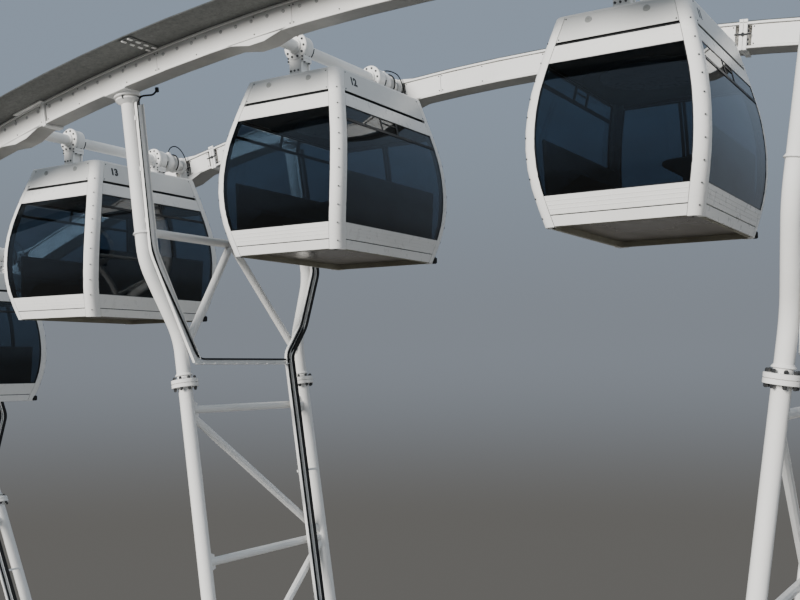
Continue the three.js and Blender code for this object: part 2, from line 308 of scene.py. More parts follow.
class Shape:
    """Points and faces gathered from simple forms until they become one mesh."""

    def __init__(self):
        self.points = []
        self.faces = []

    def skin(self, rings, loop=False):
        """A skin over rings of points, closed at both ends unless it loops round."""
        start = len(self.points)
        count = len(rings[0])
        for ring in rings:
            self.points.extend(ring)
        strips = len(rings) if loop else len(rings) - 1
        for i in range(strips):
            here = start + i * count
            there = start + (i + 1) % len(rings) * count
            for k in range(count):
                right = (k + 1) % count
                self.faces.append((here + k, here + right, there + right, there + k))
        if not loop:
            end = start + (len(rings) - 1) * count
            self.faces.append(tuple(range(start, start + count)))
            self.faces.append(tuple(range(end, end + count)))

    def take(self, other, moves):
        """Adds a copy of another shape at each move."""
        for move in moves:
            start = len(self.points)
            self.points.extend(move @ point for point in other.points)
            self.faces.extend(tuple(start + i for i in face) for face in other.faces)

    def spread(self, other, angles):
        """Adds a copy of another shape at each angle round the wheel's axis."""
        self.take(other, [Matrix.Rotation(angle, 4, "Y") for angle in angles])

    def block(self, corner, opposite, bevel=0.0):
        """A box between two opposite corners, with slanted edges if it has a bevel."""
        (x0, x1), (y0, y1), (z0, z1) = (sorted(pair) for pair in zip(corner, opposite))
        full = cut_rectangle(x0, y0, x1, y1, bevel)
        levels = [(z0, full), (z1, full)]
        if bevel > 0:
            small = cut_rectangle(x0 + bevel, y0 + bevel, x1 - bevel, y1 - bevel, bevel * 0.4)
            levels = [(z0, small), (z0 + bevel, full), (z1 - bevel, full), (z1, small)]
        self.skin([[Vector((x, y, z)) for x, y in outline] for z, outline in levels])

    def turned(self, profile, at, along, sides, loop=False):
        """A form turned about a line, from pairs of radius and distance along the line."""
        at = Vector(at)
        axis = Vector(along).normalized()
        side = axis.orthogonal().normalized()
        up = axis.cross(side)
        ways = [side * math.cos(angle) + up * math.sin(angle) for angle in even_turns(sides, 0.5)]
        rings = [[at + axis * distance + way * radius for way in ways] for radius, distance in profile]
        self.skin(rings, loop)

    def rod(self, start, end, radius, sides=12, edge=0.0):
        """A round bar between two points, with its ends slanted off."""
        start = Vector(start)
        along = Vector(end) - start
        length = along.length
        profile = [(radius, 0.0), (radius, length)]
        if edge > 0:
            profile = [
                (radius - edge, 0.0), (radius, edge), (radius, length - edge), (radius - edge, length),
            ]
        self.turned(profile, start, along, sides)

    def sweep(self, path, outline, across=None):
        """An outline drawn along a path. Across, if given, is the outline's first direction."""
        rings = []
        frames = carried_frames(path)
        for point, (side, up) in zip(path, frames):
            if across is not None:
                tangent = side.cross(up)
                side = across
                up = tangent.cross(across).normalized()
            rings.append([point + side * u + up * v for u, v in outline])
        self.skin(rings)

    def tube(self, path, radius, sides=12):
        """A round tube along a path."""
        self.sweep(path, [(radius * math.cos(a), radius * math.sin(a)) for a in even_turns(sides, 0.5)])

    def hoop(self, outline, start=0.0, end=None, steps=252):
        """A closed outline of radius and depth turned about the wheel's axis, all round or in part."""
        whole = end is None
        end = 2 * math.pi if whole else end
        count = steps if whole else steps + 1
        angles = [start + (end - start) * i / steps for i in range(count)]
        self.skin([[polar(radius, angle, y) for radius, y in outline] for angle in angles], whole)

    def head(self, at, along, size, sides=6):
        """A bolt head or a screw head."""
        self.turned([(size, 0.0), (size * 0.85, size * 0.75)], at, along, sides)

    def plate(self, outline, near, far, bevel=0.0):
        """A flat outline in X and Z made solid between two depths along Y."""
        near, far = sorted((near, far))
        middle_x = sum(x for x, z in outline) / len(outline)
        middle_z = sum(z for x, z in outline) / len(outline)
        reach = max(math.hypot(x - middle_x, z - middle_z) for x, z in outline)
        small = 1 - bevel / reach
        levels = [(near, small), (near + bevel, 1), (far - bevel, 1), (far, small)]
        if bevel <= 0:
            levels = [(near, 1), (far, 1)]
        rings = []
        for y, size in levels:
            rings.append([
                Vector((middle_x + (x - middle_x) * size, y, middle_z + (z - middle_z) * size))
                for x, z in outline
            ])
        self.skin(rings)


def made(shape, name, material):
    """One mesh with smooth shading, except at its sharp edges."""
    data = bpy.data.meshes.new(name)
    data.from_pydata(shape.points, [], shape.faces)
    work = bmesh.new()
    work.from_mesh(data)
    bmesh.ops.recalc_face_normals(work, faces=work.faces)
    work.to_mesh(data)
    work.free()
    data.shade_smooth()
    data.set_sharp_from_angle(angle=sharp_angle)
    data.materials.append(material)
    return data


def place(name, data, body, at, turn=0.0, stands_for=()):
    """A piece of the model that rides on a body."""
    piece = bpy.data.objects.new(name, data)
    piece.location = at
    piece.rotation_euler.y = turn
    bpy.context.scene.collection.objects.link(piece)
    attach(piece, body)
    if stands_for:
        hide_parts(*stands_for)


def fit(name, shape, slot, finish=None, body="wheel", at=hub, stands_for=()):
    """A piece with a mesh of its own. Its finish has the slot's name unless another is given."""
    place(name, made(shape, name, finishes[finish or slot]), body, at, 0.0, stands_for)


def fit_fixed(name, shape, slot, at=origin, stands_for=()):
    """A piece of the same kind that stands still."""
    fit(name, shape, slot, None, "support", at, stands_for)


def meshes_of(kind, parts):
    """One mesh for each part of a kind, with its slot. A part is a name, a shape, a slot and a finish."""
    meshes = []
    for part, shape, slot, finish in parts:
        meshes.append((part, slot, made(shape, f"{kind}_{part}", finishes[finish])))
    return meshes


# Materials


class Finish:
    """A procedural material built up in small steps."""

    def __init__(self, name):
        self.material = bpy.data.materials.new(name)
        self.material.use_nodes = True
        self.nodes = self.material.node_tree.nodes
        self.links = self.material.node_tree.links
        self.shader = self.nodes["Principled BSDF"]
        self.place = self.nodes.new("ShaderNodeTexCoord").outputs["Object"]

    def set(self, **values):
        """Plain values for the whole surface."""
        names = {
            "metallic": "Metallic", "ior": "IOR", "coat": "Coat Weight", "roughness": "Roughness",
            "coat_roughness": "Coat Roughness", "transmission": "Transmission Weight",
            "gloss_level": "Specular IOR Level",
        }
        for key, value in values.items():
            self.shader.inputs[names[key]].default_value = value

    def step(self, kind, inputs, **settings):
        """A new node. Each of its inputs is a plain value or the result of an earlier step."""
        node = self.nodes.new(kind)
        for name, value in settings.items():
            setattr(node, name, value)
        for name, value in inputs.items():
            if isinstance(value, bpy.types.NodeSocket):
                self.links.new(value, node.inputs[name])
            else:
                node.inputs[name].default_value = value
        return node.outputs

    def noise(self, scale, detail=4.0, stretch=(1, 1, 1), rough=0.5):
        """Noise between 0 and 1, stretched along the object's axes."""
        moved = self.step("ShaderNodeMapping", {"Scale": stretch, "Vector": self.place})["Vector"]
        inputs = {"Scale": scale, "Detail": detail, "Roughness": rough, "Vector": moved}
        return self.step("ShaderNodeTexNoise", inputs)["Fac"]

    def cells(self, scale):
        """Cells of random grey, as in spangled zinc."""
        colour = self.step("ShaderNodeTexVoronoi", {"Scale": scale, "Vector": self.place})["Color"]
        return self.step("ShaderNodeSeparateColor", {"Color": colour})["Red"]

    def span(self, source, low, high, out_low, out_high):
        """Values between low and high spread over the other two."""
        inputs = {"From Min": low, "From Max": high, "To Min": out_low, "To Max": out_high, "Value": source}
        return self.step("ShaderNodeMapRange", inputs)["Result"]

    def mixed(self, factor, first, second):
        """A colour between two others. Each is a colour or the result of an earlier step."""
        first, second = ((*tone, 1.0) if isinstance(tone, tuple) else tone for tone in (first, second))
        # Sockets 6 and 7 are the two colours, and 2 is the mixed one
        return self.step("ShaderNodeMix", {"Factor": factor, 6: first, 7: second}, data_type="RGBA")[2]

    def colour(self, source):
        self.links.new(source, self.shader.inputs["Base Color"])

    def stained(self, patches, low, high, light, dark, most=1.0):
        """A light colour that turns dark where noise rises from low to high."""
        self.colour(self.mixed(self.span(patches, low, high, 0.0, most), light, dark))

    def worn(self, marks, roughness, less, more):
        """Roughness that noise moves about a value, down by less and up by more."""
        varied = self.span(marks, 0.3, 0.7, roughness - less, roughness + more)
        self.links.new(varied, self.shader.inputs["Roughness"])

    def bump(self, source, depth, strength):
        """A surface raised and sunk by noise."""
        inputs = {"Distance": depth, "Strength": strength, "Height": source}
        normal = self.step("ShaderNodeBump", inputs)["Normal"]
        self.links.new(normal, self.shader.inputs["Normal"])


def painted(name, light, dark, roughness, streak):
    """Gloss paint with a faint film of dirt that runs down it and an orange-peel surface."""
    finish = Finish(name)
    finish.stained(finish.noise(2.2, 6.0, streak, 0.6), 0.42, 0.78, light, dark)
    finish.worn(finish.noise(26.0, 3.0), roughness, 0.06, 0.1)
    finish.bump(finish.noise(45.0, 2.0), 0.0004, 0.12)
    finish.set(coat=0.15, coat_roughness=0.2)
    return finish.material


def zinc(name, light, dark, scale, roughness):
    """Hot-dip galvanised plate: crystal cells with weathered patches."""
    finish = Finish(name)
    crystals = finish.mixed(finish.cells(scale), dark, light)
    weathered = tuple(value * 0.8 for value in dark)
    finish.stained(finish.noise(1.7, 5.0), 0.45, 0.7, crystals, weathered, 0.6)
    finish.worn(finish.noise(30.0), roughness, 0.1, 0.12)
    finish.bump(finish.noise(90.0), 0.0005, 0.3)
    finish.set(metallic=0.55)
    return finish.material


def steel(name, light, dark, roughness):
    """Plated or machined steel with fine marks and darker grease in places."""
    finish = Finish(name)
    finish.stained(finish.noise(8.0, 5.0), 0.45, 0.72, light, dark)
    finish.worn(finish.noise(60.0), roughness, 0.08, 0.15)
    finish.bump(finish.noise(220.0, 2.0, (1, 6, 1)), 0.0003, 0.3)
    finish.set(metallic=0.8)
    return finish.material


def sheet(name, light, dark, roughness):
    """Smooth metal sheet with broad, faint bands of tarnish."""
    finish = Finish(name)
    finish.stained(finish.noise(3.0, 3.0, (3, 0.6, 1)), 0.35, 0.65, light, dark)
    finish.worn(finish.noise(2.0, 2.0), roughness, 0.04, 0.08)
    finish.set(metallic=0.9)
    return finish.material


def moulded(name, light, dark, roughness, grain):
    """Plastic or rubber with a fine grain and a dusty bloom."""
    finish = Finish(name)
    finish.stained(finish.noise(5.0, 5.0), 0.4, 0.75, light, dark)
    finish.worn(finish.noise(40.0), roughness, 0.08, 0.08)
    finish.bump(finish.noise(grain, 2.0), 0.0004, 0.35)
    finish.set(gloss_level=0.3)
    return finish.material


def tinted_glass():
    """Dark tinted glass, a little denser where a film of dust lies."""
    finish = Finish("tinted_glass")
    finish.stained(finish.noise(3.0, 4.0, (1, 1, 3)), 0.4, 0.75, (0.215, 0.275, 0.335), (0.18, 0.23, 0.28))
    finish.set(transmission=1.0, ior=1.5, roughness=0.0)
    return finish.material


def make_materials():
    """Every finish by name. Pieces in one slot can have different finishes."""
    return {
        "frame_white": painted("frame_paint", (0.80, 0.79, 0.765), (0.70, 0.685, 0.655), 0.38, (1, 1, 0.3)),
        # The grey under the rims is painted shade, darker than the rims' white paint
        "underside_shade_white": painted("underside_shade_paint", (0.36, 0.35, 0.33), (0.27, 0.26, 0.24), 0.5, (1, 1, 1)),
        "cabin_white": painted("cabin_paint", (0.82, 0.81, 0.785), (0.76, 0.75, 0.72), 0.30, (1, 1, 0.25)),
        "fascia_white": painted("fascia_paint", (0.68, 0.68, 0.66), (0.62, 0.62, 0.60), 0.36, (1, 1, 0.25)),
        # The zinc is darker than bare galvanised plate: painted shade for the drive bands' undersides, also
        # carried onto the platform's zinc
        "galvanised": zinc("zinc_plate_painted_shade", (0.17, 0.175, 0.167), (0.125, 0.13, 0.124), 90.0, 0.55),
        "shaft_steel": steel("shaft_steel", (0.46, 0.46, 0.46), (0.20, 0.19, 0.18), 0.34),
        "deck_metal": painted("deck_paint", (0.30, 0.31, 0.32), (0.20, 0.205, 0.21), 0.55, (1, 1, 1)),
        "cabin_glass": tinted_glass(),
        "dark_trim": moulded("dark_trim", (0.018, 0.019, 0.021), (0.045, 0.045, 0.046), 0.42, 500.0),
        "black_rubber": moulded("black_rubber", (0.012, 0.012, 0.013), (0.02, 0.02, 0.02), 0.75, 300.0),
        "bare_steel": steel("plated_steel", (0.42, 0.42, 0.41), (0.16, 0.155, 0.15), 0.4),
        "dark_bolts": steel("dark_bolts", (0.13, 0.13, 0.13), (0.07, 0.07, 0.07), 0.45),
        "cabin_lining": moulded("grey_lining", (0.36, 0.36, 0.35), (0.27, 0.27, 0.265), 0.5, 240.0),
        "under_paint": moulded("under_paint", (0.30, 0.285, 0.225), (0.22, 0.205, 0.16), 0.5, 240.0),
        "under_plate": sheet("under_plate", (0.40, 0.37, 0.34), (0.30, 0.275, 0.25), 0.28),
        "lamp_caps": moulded("lamp_caps", (0.40, 0.40, 0.39), (0.33, 0.33, 0.32), 0.4, 200.0),
        "cap_grey": moulded("cap_grey", (0.37, 0.38, 0.37), (0.30, 0.31, 0.30), 0.4, 200.0),
        "led_strip": moulded("milky_lamp", (0.74, 0.745, 0.75), (0.62, 0.62, 0.61), 0.3, 200.0),
    }


finishes = make_materials()


# Cabin


def along_outline(z, column):
    """The cabin's half width or half length at a level, on a smooth curve through the levels above."""
    last = len(outline_levels) - 1
    i = 0
    while i < last - 1 and z < outline_levels[i + 1][0]:
        i += 1
    start, end = outline_levels[i], outline_levels[i + 1]
    span = end[0] - start[0]
    slopes = []
    for k in (i, i + 1):
        before = outline_levels[max(k - 1, 0)]
        after = outline_levels[min(k + 1, last)]
        slopes.append((after[column] - before[column]) / (after[0] - before[0]) * span)
    t = (z - start[0]) / span
    value = start[column] * (2 * t ** 3 - 3 * t ** 2 + 1) + slopes[0] * (t ** 3 - 2 * t ** 2 + t)
    return value + end[column] * (3 * t ** 2 - 2 * t ** 3) + slopes[1] * (t ** 3 - t ** 2)


def half_width(z):
    return along_outline(z, 1)


def half_length(z):
    return along_outline(z, 2)


# Each face of the cabin: the direction along it, the way it faces, and what limits it
cabin_faces = {
    "front": (Vector((1, 0, 0)), Vector((0, -1, 0)), half_width, half_length, post_front),
    "back": (Vector((-1, 0, 0)), Vector((0, 1, 0)), half_width, half_length, post_front),
    "right": (Vector((0, 1, 0)), Vector((1, 0, 0)), half_length, half_width, post_side),
    "left": (Vector((0, -1, 0)), Vector((-1, 0, 0)), half_length, half_width, post_side),
}


def on_face(face, u, z, out=0.0):
    """A point on a face of the cabin, proud of it by out."""
    along, outward, _, reach, _ = cabin_faces[face]
    return along * u + outward * (reach(z) + out) + Vector((0, 0, z))


def clear_half(face, z):
    """Half the width of a face between its posts, at a level."""
    _, _, half, _, post = cabin_faces[face]
    return half(z) - post


def bulged(shape, face, inset, top, bottom, out, depth, bevel, steps, low=None, high=None):
    """A slab that follows the bulge, set in from both posts or with its ends at given places."""

    def ring(z, drop):
        clear = clear_half(face, z) - inset
        start = -clear if low is None else low
        end = clear if high is None else high
        section = [(start, out - depth), (end, out - depth), (end, out - bevel)]
        if bevel > 0:
            section += [(end - bevel, out - drop), (start + bevel, out - drop)]
        section.append((start, out - bevel))
        return [on_face(face, u, z, distance) for u, distance in section]

    length = bottom - top + 2 * bevel
    rings = [ring(top - bevel + length * i / steps, 0.0) for i in range(steps + 1)]
    if bevel > 0:
        # A full drop would leave faces of no size at both ends
        drop = bevel * 0.999
        rings = [ring(top, drop), *rings, ring(bottom, drop)]
    shape.skin(rings)


def rounded_ring(x, y, corner, z, steps=3):
    """A level rectangle with round corners."""
    points = []
    for turn, (sx, sy) in enumerate(((1, 1), (-1, 1), (-1, -1), (1, -1))):
        for i in range(steps + 1):
            angle = math.pi / 2 * (turn + i / steps)
            points.append(Vector((
                sx * (x - corner) + corner * math.cos(angle),
                sy * (y - corner) + corner * math.sin(angle),
                z,
            )))
    return points


def inset_ring(z, inset, steps=3):
    """A ring just inside the cabin's outline at a level."""
    return rounded_ring(half_width(z) - inset, half_length(z) - inset, 0.03, z, steps)


def corner_post(shape, sx, sy):
    """A round-cornered post that follows the bulge from the roof to the skirt."""
    steps = 11
    rings = []
    for i in range(steps + 1):
        z = roof_top + (cabin_bottom - roof_top) * i / steps
        x = half_width(z)
        y = half_length(z)
        outline = [(x - post_front, y)]
        for k in range(6):
            angle = math.pi / 2 * (1 - k / 5)
            outline.append((
                x - post_round + post_round * math.cos(angle),
                y - post_round + post_round * math.sin(angle),
            ))
        outline += [
            (x, y - post_side), (x - post_depth, y - post_side),
            (x - post_depth, y - post_depth), (x - post_front, y - post_depth),
        ]
        rings.append([Vector((sx * u, sy * v, z)) for u, v in outline])
    shape.skin(rings)


def cabin_shell():
    """The white outside: posts, roof lid, window headers, sills with fine ribs, and the skirt."""
    shape = Shape()
    for sx in (-1, 1):
        for sy in (-1, 1):
            corner_post(shape, sx, sy)
    lid = [
        (-0.225, 0.010), (roof_top - 0.001, 0.010), (roof_top - 0.001, 0.0), (-0.184, 0.002),
        (-0.1795, 0.008), (-0.1765, 0.025), (-0.174, 0.14),
    ]
    x = half_width(roof_top)
    y = half_length(roof_top)
    shape.skin([rounded_ring(x - inset, y - inset, post_round, z, 4) for z, inset in lid])
    for face in cabin_faces:
        bulged(shape, face, seam, slot_bottom, window_tops[face], 0.0, 0.008, 0.0015, 3)
        bulged(shape, face, seam, window_bottom, groove + 0.0026, 0.0, 0.008, 0.0012, 4)
        bulged(shape, face, seam, groove - 0.0026, cabin_bottom + 0.003, 0.0, 0.008, 0.0012, 3)
        for i in range(3):
            z = window_bottom - 0.022 - 0.02 * i
            bulged(shape, face, 0.006, z, z - 0.003, 0.0014, 0.004, 0, 1)
    return shape


def cabin_fascias():
    """The duller panels over the air slots."""
    shape = Shape()
    for face in cabin_faces:
        bulged(shape, face, seam, roof_top - 0.001, slot_top, 0.0, 0.006, 0.0012, 3)
    return shape


def cabin_glass():
    """Four curved panes, the side ones parted by a transom for vents."""
    shape = Shape()
    bottom = window_bottom + 0.003
    for face in ("front", "back"):
        bulged(shape, face, glass_inset, window_tops[face] - 0.003, bottom, -0.003, 0.006, 0.001, 8)
    for face in ("left", "right"):
        bulged(shape, face, glass_inset, transom - 0.007, bottom, -0.003, 0.006, 0.001, 8)
        top = window_tops[face] - 0.008
        for low, high in ((None, -0.118), (-0.106, 0.052), (0.064, None)):
            bulged(shape, face, glass_inset, top, transom + 0.006, -0.003, 0.005, 0, 2, low, high)
    return shape


def cabin_trim():
    """Dark parts: sheets behind the seams and slots, which are painted shade seen through them, window
    gaskets, transoms and vent frames.
    """
    shape = Shape()
    for face in cabin_faces:
        top = window_tops[face]
        # Dark sheets behind the upper and lower panels: painted shade seen through the air slot, the groove
        # and the seams
        bulged(shape, face, -0.004, roof_top - 0.006, top + 0.004, -0.016, 0.006, 0, 3)
        bulged(shape, face, -0.004, window_bottom - 0.004, cabin_bottom + 0.01, -0.016, 0.006, 0, 3)
        for level in (top, window_bottom + 0.004):
            bulged(shape, face, 0, level, level - 0.004, -0.001, 0.016, 0, 1)
        for side in (-1, 1):
            rings = []
            for i in range(8):
                z = top + (window_bottom - top) * i / 7
                edge = side * clear_half(face, z)
                section = cut_rectangle(edge, -0.001, edge - side * 0.005, -0.017)
                rings.append([on_face(face, u, z, distance) for u, distance in section])
            shape.skin(rings)
    for face in ("left", "right"):
        over = transom + 0.0075
        bulged(shape, face, 0.004, over, transom - 0.0085, 0.0, 0.014, 0, 1)
        for x in (-0.112, 0.058):
            bulged(shape, face, 0, window_tops[face], over, -0.0005, 0.014, 0, 2, x - 0.007, x + 0.007)
        bulged(shape, face, 0, -0.4475, -0.4535, 0.001, 0.008, 0, 1, -0.104, 0.05)
    for x in (-0.012, 0.012):
        low, high = x - 0.008, x + 0.008
        bulged(shape, "back", 0, window_tops["back"], window_bottom, -0.0005, 0.014, 0, 8, low, high)
    return shape


def bench(shape, side):
    """A moulded seat and back along one side wall, with a rolled nose."""
    profile = [
        (0.405, -0.800), (0.398, -0.792), (0.385, -0.800), (0.372, -0.880), (0.352, -0.945),
        (0.325, -0.962), (0.225, -0.968), (0.208, -0.975), (0.202, -0.990), (0.212, -1.004),
        (0.250, -1.024), (0.300, -1.060), (0.330, -1.110), (0.345, -1.160), (0.385, -1.160),
    ]
    middle_x, middle_z = 0.32, -1.0
    rings = []
    for y, size in ((-0.500, 0.86), (-0.492, 1.0), (0.492, 1.0), (0.500, 0.86)):
        rings.append([
            Vector((side * (middle_x + (x - middle_x) * size), y, middle_z + (z - middle_z) * size))
            for x, z in profile
        ])
    shape.skin(rings)


def cabin_lining():
    """What shows inside: floor, ceiling with a raised ring, and both benches."""
    shape = Shape()
    for slab in ([(-1.205, 0.026), (-1.19, 0.024)], [(ceiling, 0.03), (ceiling + 0.012, 0.03)]):
        shape.skin([inset_ring(z, inset) for z, inset in slab])
    for side in (-1, 1):
        bench(shape, side)
    ring = [(0.270, 0.002), (0.285, -0.006), (0.345, -0.006), (0.355, 0.002)]
    shape.turned(ring, (0, 0, ceiling), upward, 28, True)
    return shape


def cabin_underside():
    """The folded frame under the floor, set up inside the skirt."""
    shape = Shape()
    top = cabin_bottom + tray_depth
    low = cabin_bottom + 0.0015
    ring = [(low, 0.015), (low, 0.030), (low + 0.006, 0.032), (top, 0.036), (top, 0.017)]
    shape.skin([inset_ring(z, inset, 4) for z, inset in ring], True)
    return shape


def cabin_floor_plate():
    """The smooth plate that closes the floor from below."""
    shape = Shape()
    top = cabin_bottom + tray_depth
    x = half_width(top) - 0.034
    y = half_length(top) - 0.034
    shape.skin([rounded_ring(x, y, 0.02, z, 3) for z in (top - 0.003, top + 0.003)])
    return shape


def hanger(shape, y):
    """One bearing over the roof: housing, flange, nose, split plate and foot."""
    barrel = [(0.058, -0.052), (0.076, -0.046), (0.076, 0.006), (0.07, 0.012), (0.070, 0.02)]
    flange = [(0.070, 0.016), (0.0825, 0.019), (0.0825, 0.034), (0.078, 0.038), (0.046, 0.039)]
    nose = [(0.046, 0.038), (0.046, 0.050), (0.04, 0.054)]
    for profile, sides in ((barrel, 20), (flange, 22), (nose, 16)):
        shape.turned(profile, (0, y, 0), forward, sides)
    outline = [
        (-0.045, -0.180), (0.045, -0.180), (0.046, -0.100), (0.056, -0.092), (0.056, -0.060),
        (0.048, -0.040), (-0.048, -0.040), (-0.056, -0.060), (-0.056, -0.092), (-0.046, -0.100),
    ]
    for middle in (y - 0.026, y + 0.044):
        shape.plate(outline, middle - 0.007, middle + 0.007, 0.002)
    start, end = y - 0.028, y + 0.046
    for z0, z1 in ((-0.094, -0.0765), (-0.0745, -0.057)):
        shape.block((-0.060, start, z0), (0.060, end, z1))
    shape.block((-0.036, start, -0.180), (0.034, end, -0.09), 0.003)


def cabin_hangers():
    """White parts over the roof: bearings, the cross tube between the rims and the slip ring's drum."""
    shape = Shape()
    for y in (near_hanger, far_hanger):
        hanger(shape, y)
    offset = axles[cabin_names[0]].y
    front = 0.006 - band_near - offset
    shape.rod((0, front, 0), (0, rim_near[1] - 0.012 - offset, 0), axle_tube, 20, 0.002)
    shape.rod((0, 0.0165 - rim_near[-1] - offset, 0), (0, front + 0.004, 0), axle_tube - 0.003, 20)
    drum = [(0.031, 0.0), (0.066, 0.004), (0.072, 0.014), (0.072, 0.046), (0.062, 0.060), (0.040, 0.066)]
    collar = [(0.040, 0.0), (0.068, 0.002), (0.068, 0.016), (0.040, 0.018)]
    for profile, start in ((drum, 0.075), (collar, 0.175)):
        shape.turned(profile, (0, far_hanger + start, 0), (0, 1, 0), 20)
    shape.block((-0.012, far_hanger + 0.118, 0.062), (0.016, far_hanger + 0.142, 0.082), 0.003)
    return shape


def cabin_fittings():
    """Screws down the round of every post and at the ends of the fascias."""
    shape = Shape()
    slant = math.sqrt(0.5)
    for z in screw_levels:
        x = half_width(z) - post_round * (1 - slant)
        y = half_length(z) - post_round * (1 - slant)
        for sx in (-1, 1):
            for sy in (-1, 1):
                shape.head((sx * x, sy * y, z), (sx * slant, sy * slant, 0), 0.0048, 5)
    for face in cabin_faces:
        for z in (roof_top - 0.012, slot_top + 0.012):
            for side in (-1, 1):
                u = side * (clear_half(face, z) - 0.012)
                shape.head(on_face(face, u, z, -0.001), cabin_faces[face][1], 0.0045, 5)
    return shape


def hanger_bolts(shape, y):
    """The bolts round a bearing's flange, along its split and at its foot."""
    for angle in even_turns(10, 0.5):
        shape.head(polar(0.065, angle, y - 0.0385), forward, 0.0078)
    for sx in (-1, 1):
        for place_y in (y + 0.030, y - 0.014):
            shape.head((sx * 0.053, place_y, -0.057), upward, 0.0075)
            shape.head((sx * 0.053, place_y, -0.094), (0, 0, -1), 0.0075)
        for z in (-0.066, -0.085):
            shape.head((sx * 0.052, y - 0.033, z), forward, 0.0065)
    for x in (-0.034, -0.006, 0.022):
        shape.head((x, y - 0.033, -0.145), forward, 0.0070)


def cabin_bolts():
    """The bolts of both bearings."""
    shape = Shape()
    for y in (near_hanger, far_hanger):
        hanger_bolts(shape, y)
    return shape


def cabin_caps():
    """Round covers on the end fascias."""
    shape = Shape()
    cover = [(0.0185, 0.0), (0.0185, 0.0035), (0.015, 0.006), (0.007, 0.0065), (0.006, 0.0045)]
    for face in ("front", "back"):
        for x in (-0.147, 0.147):
            shape.turned(cover, on_face(face, x, -0.228, -0.001), cabin_faces[face][1], 12)
    return shape


def cabin_ceiling_disc():
    """The round white panel in the middle of the ceiling."""
    shape = Shape()
    shape.turned([(0.262, 0.0), (0.262, -0.005), (0.254, -0.009)], (0, 0, ceiling), upward, 32)
    return shape


def cabin_rubber():
    """Black rubber: corner bumpers, plugs, the lips under the bearings and the band round the slip ring."""
    shape = Shape()
    for sx in (-1, 1):
        shape.block((sx * 0.378 - 0.018, 0.515, -1.244), (sx * 0.378 + 0.018, 0.560, -1.203), 0.006)
        shape.turned([(0.006, 0.0), (0.006, -0.004)], (sx * 0.345, -0.505, cabin_bottom), upward, 8)
    for y in (near_hanger, far_hanger):
        lip = [polar(0.077, math.radians(step), y + 0.050) for step in range(95, 266, 17)]
        shape.tube(lip, 0.0035, 6)
    wrap = [polar(0.071, math.radians(step), far_hanger + 0.168) for step in range(-10, 141, 10)]
    shape.tube(wrap, 0.005, 6)
    return shape


def cable_arch(height):
    """The supply cable that arches from the slip ring over to the rim, to a height over the axle."""
    foot = 0.074
    rise = (height - foot) / 0.063
    loop = [
        (0.0, far_hanger + 0.130, foot), (0.002, far_hanger + 0.134, foot + 0.033 * rise),
        (0.008, 0.558, foot + 0.056 * rise), (0.018, 0.585, foot + 0.066 * rise),
        (0.032, 0.616, foot + 0.054 * rise), (0.05, 0.642, foot + 0.016 * rise),
        (0.068, 0.656, 0.036), (0.082, 0.663, -0.015), (0.09, 0.666, -0.05),
    ]
    shape = Shape()
    shape.tube(smoothed([Vector(point) for point in loop], 2), 0.0042, 6)
    return shape


def smoothed(points, rounds):
    """A path with its corners cut again and again."""
    for _ in range(rounds):
        path = [points[0]]
        for a, b in zip(points, points[1:]):
            path.append(a.lerp(b, 0.25))
            path.append(a.lerp(b, 0.75))
        path.append(points[-1])
        points = path
    return points


def number_mesh(number):
    """The cabin's number in plain digits, on both side fascias."""
    text = bpy.data.curves.new(f"digits_{number:02d}", "FONT")
    text.body = str(number)
    text.size = digit_size
    text.offset = 0.0034
    text.extrude = 0.0006
    text.resolution_u = 2
    text.align_x = "CENTER"
    text.align_y = "CENTER"
    holder = bpy.data.objects.new("digits", text)
    bpy.context.scene.collection.objects.link(holder)
    bpy.context.view_layer.update()
    flat = bpy.data.meshes.new_from_object(holder)
    bpy.data.objects.remove(holder)
    digits = Shape()
    digits.points = [vertex.co.copy() for vertex in flat.vertices]
    digits.faces = [tuple(face.vertices) for face in flat.polygons]
    bpy.data.meshes.remove(flat)
    z = digit_level
    lean = math.atan2(half_width(z - 0.01) - half_width(z + 0.01), 0.02)
    leaning = Matrix.Rotation(-lean, 4, "X") @ Matrix.Rotation(math.pi / 2, 4, "X")
    shape = Shape()
    for side in (-1, 1):
        spot = Matrix.Translation((side * (half_width(z) + 0.0004), -side * digit_place, z))
        shape.take(digits, [spot @ Matrix.Rotation(side * math.pi / 2, 4, "Z") @ leaning])
    return made(shape, f"number_{number:02d}", finishes["dark_trim"])


